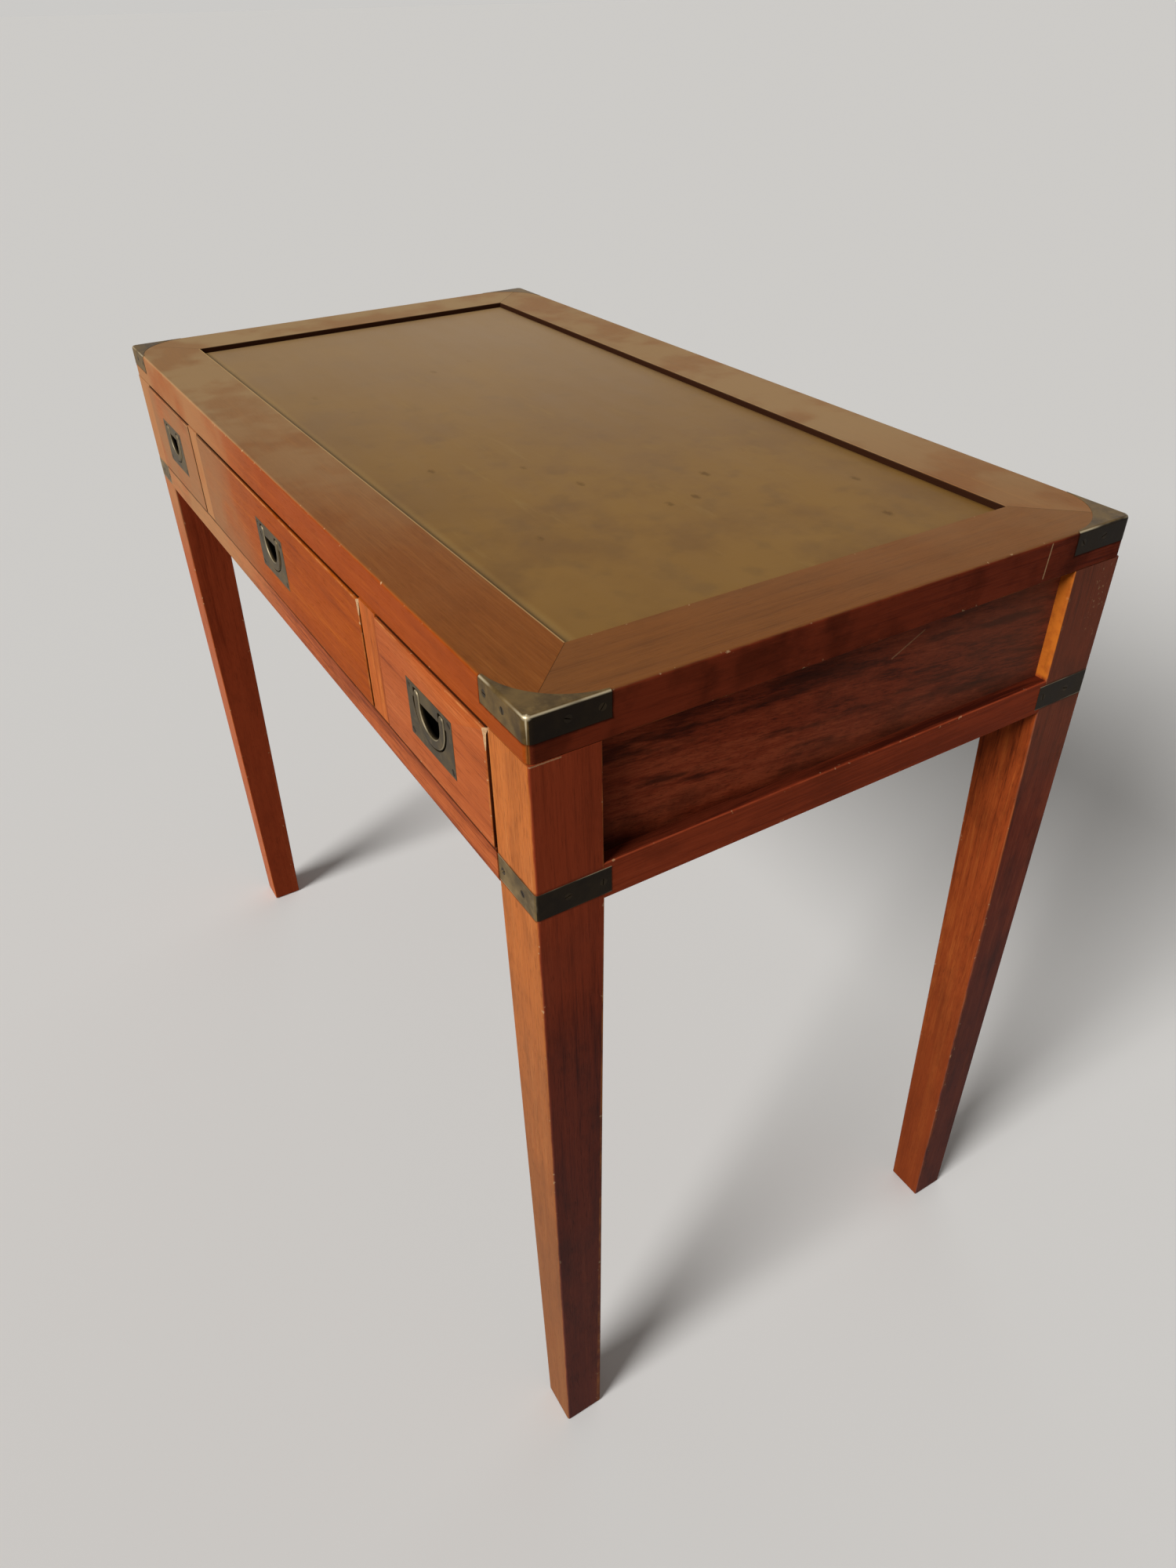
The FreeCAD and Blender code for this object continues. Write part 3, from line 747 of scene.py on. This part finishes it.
def shades(figure, calm, tones):
    """Deep to pale along the figure. A larger calm makes a quieter board."""
    deep, middle, pale = tones
    tone = mix(rise(figure, 0.5 - calm, 0.5), deep, middle)
    return mix(rise(figure, 0.5, 0.5 + calm), tone, pale)


def wood(
    node, along, seed, tones, gap, front=SUNNED, marks=(),
    calm=0.12, ribbon=0.2, pores=0.45, blots=0.35, end_blots=0.3, slope=0.0, polish=0.02, rub_and_highlight=None,
):
    """Polish on one board. Gap gives the distance to an edge, and front the tones of the desk's front.

    A larger calm makes a quieter figure. Ribbon, pores, blots and end_blots are the strengths of those
    layers, slope leans the grain, polish says how much it mirrors, and rubbed is the colour of worn edges.
    """
    material, shader, place, axes = start_finish("wood_" + node)
    fibres = board_fibres(axes, along, seed, slope)
    broad = grain(fibres, 1.4, 18, 3)
    streak = grain(fibres, 4.5, 150, 4, 0.6)
    fibre = grain(fibres, 22, 800, 3, 0.6)
    pore = rise(grain(fibres, 90, 2100, 1), 0.58, 0.7)
    band = rise(grain(fibres, 10, 85, 4, 0.6), 0.5, 0.68)
    blot = rise(grain(fibres, 18, 38, 6, 0.68), 0.46, 0.7)
    patch = noise(place, 5.0, 2)

    figure = broad * 0.36 + streak * 0.34 + fibre * 0.3
    at_end = on_end(axes)
    tone = mix(on_front(axes), shades(figure, calm, tones), shades(figure, calm, front))
    # The ends and the back take the darker tones: partly the wood's own colour, partly painted shade.
    tone = mix(most(at_end, on_back(axes)), tone, shades(figure, calm, SHADED))
    tone = mix(band * ribbon, tone, WOOD_RIBBON)
    tone = mix(pore * pores, tone, WOOD_PORE)
    tone = mix(blot * (blots + at_end * end_blots), tone, OLD_POLISH)

    edge = gap(axes)
    rub = noise(place, 60.0, 3) * 0.5 + noise(place, 8.0, 2) * 0.5
    worn = fall(edge, *WORN_WIDTH) * rise(rub, 0.4, 0.62)
    tone = mix(worn * 0.8, tone, rub_and_highlight or tones[2])
    bare = fall(edge, *KNOCK_WIDTH) * rise(noise(place, 230.0, 2), 0.67, 0.73) * 0.7
    tone = mix(bare, tone, WOOD_RAW)
    for mark, paint in marks:
        here = mark(place, axes)
        tone = mix(here, tone, paint)
        bare = most(bare, here)

    plug(shader, "Base Color", tone)
    rough = ragged(0.34, patch, 0.2) + streak * 0.1 + pore * 0.1
    plug(shader, "Roughness", rough + worn * 0.1 + bare * 0.3)
    plug(shader, "Specular IOR Level", polish)
    height = fibre * 0.4 + streak * 0.5 - pore * 0.6 - bare * 1.5
    plug(shader, "Normal", bump(height, 0.2, 0.0006))
    return material


print("wood ready")

# %% [markdown]
# One finish could serve the whole desk, but then the grain would run on through the joints.
# So each board gets its own grain direction, seed and tone. The top is duller than the rest and paler,
# from fading and painted sheen, with a dark seam at each mitre, a wall round the leather painted dark as
# shade, and one scratch at the right end. The rails carry dirt and painted shade close under what sits on
# them: drawers in front, panels at the sides and back. Their ends carry painted light.

# %% Wood of the top and the rails
FIRST_SEED = {"top": 0, "rail": 5, "divider": 10, "drawer": 15, "board": 20, "board_back": 24, "leg": 30}
FADE_AND_SHEEN_STRENGTH = {"front": 1.05, "back": 1.0, "left": 1.15, "right": 0.5}
WALL_SHADE_REACH = {"front": 0.0, "back": 0.0006, "left": 0.0006, "right": 0.0006}
EDGE_SCRATCH = scratch((HALF_WIDTH, 0.156, 0.739), (HALF_WIDTH, 0.158, 0.763), width=0.0008, strength=0.6)
TOP_LOOK = {"calm": 0.2, "ribbon": 0.1, "pores": 0.2, "blots": 0.12, "polish": 0.015}

for step, (side, along) in enumerate((("front", "X"), ("back", "X"), ("left", "Y"), ("right", "Y"))):
    node = "top_" + side
    gap = box_edge_gap(*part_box(node))
    marks = [(fade_and_sheen(FADE_AND_SHEEN_STRENGTH[side]), FADED_SHEEN_TONE), (front_sheen, FRONT_SHEEN), (mitre_seam, SEAM_AND_SHADE_DARK)]
    marks += [(well_wall_shade(WALL_SHADE_REACH[side]), WELL_WALL_SHADE), (cap_dirt, OLD_POLISH), (end_grime, OLD_POLISH)]
    if side == "right":
        marks += [(dull_top, DULL), (EDGE_SCRATCH, WOOD_RAW)]
    if side == "front":
        marks.append((well_bevel_highlight, WELL_HIGHLIGHT))
    dress(node, wood(node, along, FIRST_SEED["top"] + step, TABLE, gap, EDGE, marks, **TOP_LOOK))

    node = "rail_" + side
    gap = box_edge_gap(*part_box(node))
    marks = [(front_sheen, FRONT_SHEEN), (end_light, END_LIGHT_TONE)]
    marks.append((ledge_dirt_and_shade if along == "Y" else rail_dirt_and_shade, SEAM_AND_SHADE_DARK))
    tones = WARM if side == "front" else SHADED
    dress(node, wood(node, along, FIRST_SEED["rail"] + step, tones, gap, WARM, marks, blots=0.2))
print("polished wood on the top and the rails")

# %% [markdown]
# The drawer side has faded in the light. Between the drawers stand two golden dividers, whose grain
# is upright. The side panels are the most figured boards, with ribbons that slope across them,
# and the back is plainer. The panels sit in grooves, so no edge of theirs can wear.

# %% Wood of the dividers, drawers and panels
SIDE_SCRATCH = scratch((BOARD_FACE, 0.036, 0.711), (BOARD_FACE, 0.062, 0.724), width=0.0008, strength=0.3)
DRAWER_LOOK = {
    "calm": 0.17, "ribbon": 0.1, "pores": 0.3, "blots": 0.12, "polish": 0.015, "rub_and_highlight": WOOD_WORN,
}
PANEL_LOOK = {"calm": 0.1, "ribbon": 0.8, "blots": 0.5, "slope": 0.1}

for step, side in enumerate(("left", "right")):
    node = "divider_" + side
    gap = box_edge_gap(*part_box(node))
    marks = [(front_sheen, FRONT_SHEEN)]
    dress(node, wood(node, "Z", FIRST_SEED["divider"] + step, GOLDEN, gap, GOLDEN, marks, blots=0.15))

    node = "board_" + side
    marks = [(end_haze, HAZE), (panel_dirt_and_shade, SEAM_AND_SHADE_DARK)]
    if side == "right":
        marks.append((SIDE_SCRATCH, WOOD_RAW))
    dress(node, wood(node, "Y", FIRST_SEED["board"] + step, SHADED, no_edge, SUNNED, marks, **PANEL_LOOK))

for step, drawer in enumerate(DRAWERS):
    node = drawer + "_drawer_front"
    gap = box_edge_gap(*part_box(node))
    marks = [(front_sheen, DRAWER_SHEEN), (drawer_dirt_and_shade, SEAM_AND_SHADE_DARK)]
    tones = SUNNED if drawer == "centre" else WARM
    dress(node, wood(node, "X", FIRST_SEED["drawer"] + step, tones, gap, tones, marks, **DRAWER_LOOK))

dress("board_back", wood("board_back", "X", FIRST_SEED["board_back"], SHADED, no_edge, ribbon=0.4))
print("polished wood on the dividers, drawers and panels")

# %% [markdown]
# The legs differ most from each other: the near one is faded in front and dark at the end,
# the one behind it is browner and figured, and the two on the left are redder and quiet.
# So each of the first two has a look and marks of its own, and the left ones share theirs.

# %% Wood of the legs
RUB_Z = 0.7343
RUB_END = FRONT_Y + 0.02
LEG_RUB = scratch((HALF_WIDTH, FRONT_Y, RUB_Z), (HALF_WIDTH, RUB_END, RUB_Z), width=0.0007, strength=0.5)
LEFT_LEG_LOOK = {"calm": 0.24, "ribbon": 0.08, "pores": 0.3, "blots": 0.15}
NEAR_LEG_LOOK = {"calm": 0.15, "blots": 0.2, "end_blots": 0.2, "rub_and_highlight": FADED[2]}
REAR_LEG_LOOK = {"ribbon": 0.3, "end_blots": 0.1}

left_marks = [(leg_sheen, FRONT_SHEEN)]
near_marks = [(foot_darkening(*NEAR_FOOT_Z), NEAR_FOOT_TONE), (end_foot_darkening, END_FOOT_TONE)]
near_marks += [(end_light, END_LIGHT_TONE), (LEG_RUB, WOOD_RAW)]
rear_marks = [(foot_darkening(*REAR_FOOT_Z), REAR_FOOT_TONE), (end_foot_darkening, END_FOOT_TONE), (leg_haze, HAZE)]
rear_marks += [(leg_specks, WOOD_RAW), (leg_strip_light, STRIP_LIGHT)]
leg_styles = {
    "front_left": (REDDER, WARM, left_marks, LEFT_LEG_LOOK),
    "front_right": (REAR, FADED, near_marks, NEAR_LEG_LOOK),
    "back_left": (REDDER, WARM, left_marks, LEFT_LEG_LOOK),
    "back_right": (REAR, REAR, rear_marks, REAR_LEG_LOOK),
}
for step, corner in enumerate(CORNERS):
    node = "leg_" + corner
    tones, front, own_marks, look = leg_styles[corner]
    marks = [(strap_dirt, OLD_POLISH)] + own_marks
    dress(node, wood(node, "Z", FIRST_SEED["leg"] + step, tones, leg_edge_gap, front, marks, **look))
print("polished wood on the legs")

# %% [markdown]
# ## Plain wood inside
#
# Drawer boxes, runners and the panel under the leather were never polished.
# They are paler, rough and a little stained, with the same kind of grain.
# They are seldom seen, so one finish for each direction of the grain is enough.

# %% Inner wood
PLAIN_DEEP = colour(122, 82, 50)
PLAIN_PALE = colour(176, 132, 88)
PLAIN_STAIN = colour(98, 66, 42)


def plain_wood(along):
    material, shader, place, axes = start_finish("plain_wood_" + along)
    fibres = [axes[i] for i in GRAIN[along]]
    broad = grain(fibres, 1.1, 20, 3)
    streak = grain(fibres, 5, 170, 4, 0.6)
    fibre = grain(fibres, 24, 800, 3, 0.6)
    stain = noise(place, 7.0, 3)
    figure = broad * 0.45 + streak * 0.35 + fibre * 0.2
    tone = mix(rise(figure, 0.38, 0.62), PLAIN_DEEP, PLAIN_PALE)
    tone = mix(rise(stain, 0.5, 0.75) * 0.4, tone, PLAIN_STAIN)
    plug(shader, "Base Color", tone)
    plug(shader, "Roughness", 0.62 + streak * 0.2)
    plug(shader, "Specular IOR Level", 0.25)
    plug(shader, "Normal", bump(fibre * 0.5 + streak * 0.5, 0.3, 0.0006))
    return material


plain = {along: plain_wood(along) for along in "XY"}
for drawer in DRAWERS:
    dress(drawer + "_drawer_left_side", plain["Y"])
    dress(drawer + "_drawer_right_side", plain["Y"])
    dress(drawer + "_drawer_back", plain["X"])
    dress(drawer + "_drawer_bottom", plain["X"])
for node in ("runner_left_inner", "runner_left_end", "runner_right_inner", "runner_right_end"):
    dress(node, plain["Y"])
for node in ("drawer_guides", "drawer_kickers", "mitre_splines"):
    dress(node, plain["Y"])
for node in ("drawer_stops", "top_panel"):
    dress(node, plain["X"])
print("inner pieces in plain wood")

# %% [markdown]
# ## Aged brass
#
# The fittings have gone to a dark bronze and shine only on the edges, where they are rubbed and where a
# painted highlight lies. A fully metallic shader would mirror the studio all over. Tarnish is a dull skin,
# so the metal shows through it a little, and strongly only on the bright edges. The ends of the desk are
# painted darkest, as shade.

# %% Brass
CAP_TONES = (colour(70, 53, 28), colour(115, 91, 53), colour(140, 114, 68))
PLATE_TONES = (colour(62, 52, 36), colour(98, 83, 57), colour(122, 104, 72))
STRAP_TONES = (colour(82, 66, 40), colour(136, 113, 74), colour(160, 136, 94))
SCREW_TONES = (colour(44, 36, 26), colour(70, 58, 40), colour(96, 82, 58))
BRASS_BRIGHT = colour(240, 222, 184)
BRASS_SHADE = colour(22, 16, 12)
BRASS_SOOT = colour(17, 14, 12)
BRASS_RUB_GLINT_WIDTH = (0.0003, 0.0014)
BRASS_END = (HALF_WIDTH - 0.0008, HALF_WIDTH - 0.0003)
LEFT_SHADE = 0.7


def brass(name, tones, gap, shade=0.93, shine=0.9, hollow=None):
    """Tarnished brass: rubbed shine and painted highlight where gap is small, painted shade on the ends of
    the desk, soot in the hollow.
    """
    material, shader, place, axes = start_finish("brass_" + name)
    cloud = noise(place, 45.0, 4, 0.6)
    grime = noise(place, 160.0, 3)
    fine = noise(place, 900.0, 2)
    lines = noise(stretched(axes[0] * 300 + axes[1] * 300, axes[2] * 2500, axes[1] * 600), 1.0, 2)
    tone = mix(rise(cloud, 0.3, 0.7), tones[0], tones[1])
    tone = mix(rise(grime, 0.5, 0.8) * 0.35, tone, tones[2])
    # Painted shade: the ends of the desk are darker, the left one less than the right.
    right_end, left_end = (rise(x, *BRASS_END) for x in (axes[0], 0 - axes[0]))
    at_end = right_end + left_end * LEFT_SHADE
    tone = mix(at_end * shade, tone, BRASS_SHADE)
    # The bright edges are partly rubbed brass, partly a painted highlight.
    bright = fall(gap(axes), *BRASS_RUB_GLINT_WIDTH) * rise(noise(place, 25.0, 3), 0.36, 0.62) * shine
    tone = mix(bright, tone, BRASS_BRIGHT)
    if hollow:
        tone = mix(hollow(axes), tone, BRASS_SOOT)
    plug(shader, "Base Color", tone)
    plug(shader, "Metallic", 0.3 + bright * 0.5 - at_end * 0.2)
    plug(shader, "Specular IOR Level", 0.06)
    plug(shader, "Roughness", ragged(0.42, cloud, 0.3) + lines * 0.1 - bright * 0.12)
    plug(shader, "Normal", bump(cloud * 0.8 + fine * 0.2 + lines * 0.15, 0.2, 0.0004))
    return material


print("brass ready")

# %% [markdown]
# The corner caps wrap three faces of the top, and the straps go round the legs at the height of the rails.
# Each could have a finish of its own, but their edges are measured from the outside of the desk,
# so one finish for the caps and one for the straps is right at every corner.

# %% Brass of the corners
CAP_EDGE_WIDTH = 0.0022
CAP_EDGE_TAPER = 0.05
CAP_TIP_SPREAD = 0.4
CAP_TIP_SIZE = 0.001
STRAP_EDGE_DULL = 0.0006


def corner_edge_gap(axes):
    """For what wraps a corner of the desk: its three outer edges, worn bright, and a painted highlight
    down the upright corner from the tip.
    """
    a, b = inward(axes)
    c = TOP_Z - axes[2]
    upright = most(abs(a - b) + c * CAP_EDGE_TAPER, most(a, b) - CAP_EDGE_WIDTH)
    tip = (a + b + c) * CAP_TIP_SPREAD - CAP_TIP_SIZE
    return least(middle_one(a, b, c), least(upright, tip))


def strap_edge_gap(axes):
    """The upright corner of a strap, and more faintly its two long edges."""
    corner = most(*inward(axes))
    return least(corner, least(axes[2] - strap_low.z, strap_high.z - axes[2]) + STRAP_EDGE_DULL)


corner_brass = brass("corner", CAP_TONES, corner_edge_gap, shine=0.65)
strap_brass = brass("strap", STRAP_TONES, strap_edge_gap, shine=0.5)
for corner in CORNERS:
    dress("corner_cap_" + corner, corner_brass)
    dress("leg_strap_" + corner, strap_brass)
print("brass on the corners")

# %% [markdown]
# The pulls get the same brass, with edges of their own. They all lie at the same depth in their drawers,
# so one finish serves all three. Inside the cups, where no cloth reaches, it has gone black.
# The screws are darker than the brass that they hold.

# %% Brass of the pulls and screws
PLATE_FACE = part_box("centre_pull_plate")[0].y
BAIL_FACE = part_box("centre_pull_bail")[0].y
BAIL_BEVEL = 0.0009
BEVEL_SHARPNESS = 3
CUP_DEPTH = (PLATE_FACE + 0.0006, PLATE_FACE + 0.0022)


def cup_soot(axes):
    return rise(axes[1], *CUP_DEPTH) * 0.97


def bevel_gap(axes):
    """Nearly nothing on the bevelled edge of a bail, more on its flat face: the bevel takes a painted
    highlight.
    """
    return abs(axes[1] - BAIL_FACE - BAIL_BEVEL / 2) * BEVEL_SHARPNESS


screw_brass = brass("screw", SCREW_TONES, no_edge, shade=0.3)
plate_brass = brass("plate", PLATE_TONES, no_edge, hollow=cup_soot)
bail_brass = brass("bail", PLATE_TONES, bevel_gap, shine=0.3, hollow=cup_soot)
dress("brass_screws", screw_brass)
for drawer in DRAWERS:
    dress(drawer + "_pull_plate", plate_brass)
    dress(drawer + "_pull_bail", bail_brass)
    dress(drawer + "_pull_fixings", screw_brass)
print("brass on the pulls and screws")

# %% [markdown]
# ## The leather
#
# The writing surface is a thin hide, glued down and let into the frame. A cloth simulation could make
# it, but a hide that is held all over cannot move, so it starts as a grid of the CAD leather's size.
# A cloud texture gives it the slight unevenness of old glue, its rim is pressed down,
# and Solidify gives it thickness.

# %% Leather sheet
LEATHER_CUTS = (120, 60)
LEATHER_WAVE = 0.0004
LEATHER_WAVE_LENGTH = 0.09
LEATHER_RIM_DROP = 0.0003
LEATHER_THICKNESS = 0.0006
LEATHER_SMOOTH = math.radians(40)
leather_low, leather_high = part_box("leather_surface")
leather_size = leather_high - leather_low
leather_middle = (leather_low + leather_high) / 2

bpy.ops.object.select_all(action="DESELECT")
bpy.ops.mesh.primitive_grid_add(
    x_subdivisions=LEATHER_CUTS[0],
    y_subdivisions=LEATHER_CUTS[1],
    size=1,
    location=(leather_middle.x, leather_middle.y, leather_high.z),
)
leather = bpy.context.object
leather.name = "leather_writing_surface"
leather.scale = (leather_size.x, leather_size.y, 1)
bpy.ops.object.transform_apply(location=True, rotation=True, scale=True)

bpy.ops.object.mode_set(mode="EDIT")
bpy.ops.mesh.select_all(action="SELECT")
bpy.ops.mesh.region_to_loop()
bpy.ops.transform.translate(value=(0, 0, -LEATHER_RIM_DROP))
bpy.ops.object.mode_set(mode="OBJECT")

unevenness = bpy.data.textures.new("unevenness", "CLOUDS")
unevenness.noise_scale = LEATHER_WAVE_LENGTH
wave = leather.modifiers.new("wave", "DISPLACE")
wave.texture = unevenness
wave.texture_coords = "OBJECT"
wave.texture_coords_object = None
wave.direction = "Z"
wave.mid_level = 1.0
wave.strength = LEATHER_WAVE
hide = leather.modifiers.new("hide", "SOLIDIFY")
hide.thickness = LEATHER_THICKNESS
hide.offset = -1
bpy.ops.object.modifier_apply(modifier="wave")
bpy.ops.object.modifier_apply(modifier="hide")
bpy.ops.object.shade_smooth_by_angle(angle=LEATHER_SMOOTH)
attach(leather, "desk_frame")
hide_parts("leather_surface")
print("leather", len(leather.data.polygons), "faces")

# %% [markdown]
# Old green-brown hide: cloudy colour, fine pebble grain, a few ink-dark spots, scuffs that run along
# the desk, a darker rim where polish has gathered, and a pale band in front: rubbing, and painted light
# over the shade of the frame. Towards the far left it is paler with the wood round it: fading and painted
# sheen. A picture of leather would blur up close, and modelled pebbles would need millions of faces,
# so a Voronoi pattern gives the pebbles as a bump.

# %% Leather finish
HIDE_DEEP = colour(122, 86, 37)
HIDE_PALE = colour(139, 102, 47)
HIDE_MOTTLE = colour(110, 76, 38)
HIDE_FLECK = colour(104, 76, 42)
HIDE_SCUFF = colour(158, 126, 76)
HIDE_SPOT = colour(66, 44, 24)
HIDE_RIM = colour(70, 50, 28)
HIDE_RUB_AND_LIGHT = colour(190, 152, 88)
HIDE_FADE_SHEEN_REACH = (0.2, 1.0)
HIDE_FADE_SHEEN_BACKWARD = 0.45
RIM_WIDTH = (0.0005, 0.004)
RUB_AND_LIGHT_WIDTH = (0.001, 0.012)


def leather_finish():
    material, shader, place, axes = start_finish("leather_hide")
    cloud = noise(place, 3.2, 4, 0.55)
    mottle = noise(place, 14.0, 4, 0.6)
    pebble = cells(place, 900.0)
    crease = noise(place, 380.0, 3)
    scuff = noise(stretched(axes[0] * 9, axes[1] * 60, axes[2]), 1.0, 4, 0.6)
    tone = mix(rise(cloud, 0.3, 0.7), HIDE_DEEP, HIDE_PALE)
    tone = mix(rise(mottle, 0.42, 0.72) * 0.55, tone, HIDE_MOTTLE)
    tone = mix(rise(noise(place, 38.0, 3), 0.5, 0.75) * 0.3, tone, HIDE_FLECK)
    # paler towards the far left: fading and painted sheen
    far = HALF_WIDTH - axes[0] + (axes[1] - FRONT_Y) * HIDE_FADE_SHEEN_BACKWARD
    tone = mix(rise(ragged(far, mottle, 0.2), *HIDE_FADE_SHEEN_REACH) * 0.58, tone, FADED_SHEEN_TONE)
    tone = mix(rise(scuff, 0.6, 0.8) * 0.35, tone, HIDE_SCUFF)
    drop = ragged(cells(stretched(axes[0] * 17, axes[1] * 30, axes[2]), 1.0), crease, 0.12)
    spots = fall(drop, 0.04, 0.12) * rise(cloud, 0.48, 0.56)
    tone = mix(spots * 0.45, tone, HIDE_SPOT)
    from_end = leather_size.x / 2 - abs(axes[0])
    from_rim = least(from_end, leather_size.y / 2 - abs(axes[1] - leather_middle.y))
    tone = mix(fall(from_rim, *RIM_WIDTH) * 0.3, tone, HIDE_RIM)
    # a paler band along the front: rubbing, and painted light over the shade of the frame
    from_front = ragged(axes[1] - leather_low.y, mottle, 0.004)
    tone = mix(fall(from_front, *RUB_AND_LIGHT_WIDTH) * 0.55, tone, HIDE_RUB_AND_LIGHT)
    plug(shader, "Base Color", tone)
    plug(shader, "Roughness", ragged(0.42, cloud, 0.2) + scuff * 0.12 + spots * 0.1)
    plug(shader, "Specular IOR Level", 0.06)
    plug(shader, "Normal", bump(pebble * 0.6 + crease * 0.6 + mottle * 0.8, 0.18, 0.0004))
    return material


leather.data.materials.append(leather_finish())
print("leather finished")

# %% [markdown]
# ## Chipped drawer corners
#
# Two drawer fronts have lost their top right corner, and under the polish the wood is pale and rough.
# The polished finish in paler colours would still have its marks and its gloss,
# so raw wood gets a small finish of its own.

# %% Raw wood
RAW_DEEP = colour(178, 130, 86)


def raw_wood():
    material, shader, place, axes = start_finish("raw_wood")
    fibre = grain(axes, 60, 1500, 3, 0.6)
    plug(shader, "Base Color", mix(rise(fibre, 0.2, 0.8), RAW_DEEP, WOOD_RAW))
    plug(shader, "Roughness", 0.75 + fibre * 0.1)
    plug(shader, "Normal", bump(fibre, 0.25, 0.0008))
    return material


bare = raw_wood()
print("raw wood ready")

# %% [markdown]
# A Boolean could cut the corner off, but a splinter breaks off along a plane, and Bisect cuts by one.
# A copy of the CAD piece is merged into one skin, then Bisect cuts two splinters off and fills the wound,
# and the new faces get raw wood.

# %% Chips
MERGE_DISTANCE = 0.000001
CHIP_SMOOTH = math.radians(30)
CHIPS = {
    "right": ((0.0027, 0.003, 0.007), (0.0013, 0.0017, 0.024)),
    "centre": ((0.0022, 0.0024, 0.006), (0.0014, 0.0016, 0.02)),
}


def chip(drawer, cuts, bare):
    """Cuts are sizes along the width, into the wood and down the side, from the top right corner."""
    source = nodes[drawer + "_drawer_front"]
    low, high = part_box(source.name)
    corner = Vector((high.x, low.y, high.z))
    mesh = source.data.copy()
    mesh.transform(source.matrix_world)
    piece = bpy.data.objects.new(drawer + "_drawer_front_chipped", mesh)
    bpy.context.collection.objects.link(piece)
    mesh.materials.append(bare)
    bpy.ops.object.select_all(action="DESELECT")
    piece.select_set(True)
    bpy.context.view_layer.objects.active = piece
    bpy.ops.object.mode_set(mode="EDIT")
    bpy.ops.mesh.select_all(action="SELECT")
    bpy.ops.mesh.remove_doubles(threshold=MERGE_DISTANCE)
    piece.active_material_index = 1
    for wide, deep, tall in cuts:
        bpy.ops.mesh.select_all(action="SELECT")
        outward = Vector((1 / wide, -1 / deep, 1 / tall)).normalized()
        inside = corner - Vector((wide, 0, 0))
        bpy.ops.mesh.bisect(plane_co=inside, plane_no=outward, use_fill=True, clear_outer=True)
        bpy.ops.object.material_slot_assign()
    bpy.ops.object.mode_set(mode="OBJECT")
    bpy.ops.object.shade_smooth_by_angle(angle=CHIP_SMOOTH)
    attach(piece, drawer + "_drawer")
    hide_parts(source.name)
    print(piece.name, len(mesh.polygons), "faces,", sum(f.material_index for f in mesh.polygons), "raw")


for drawer, cuts in CHIPS.items():
    chip(drawer, cuts, bare)
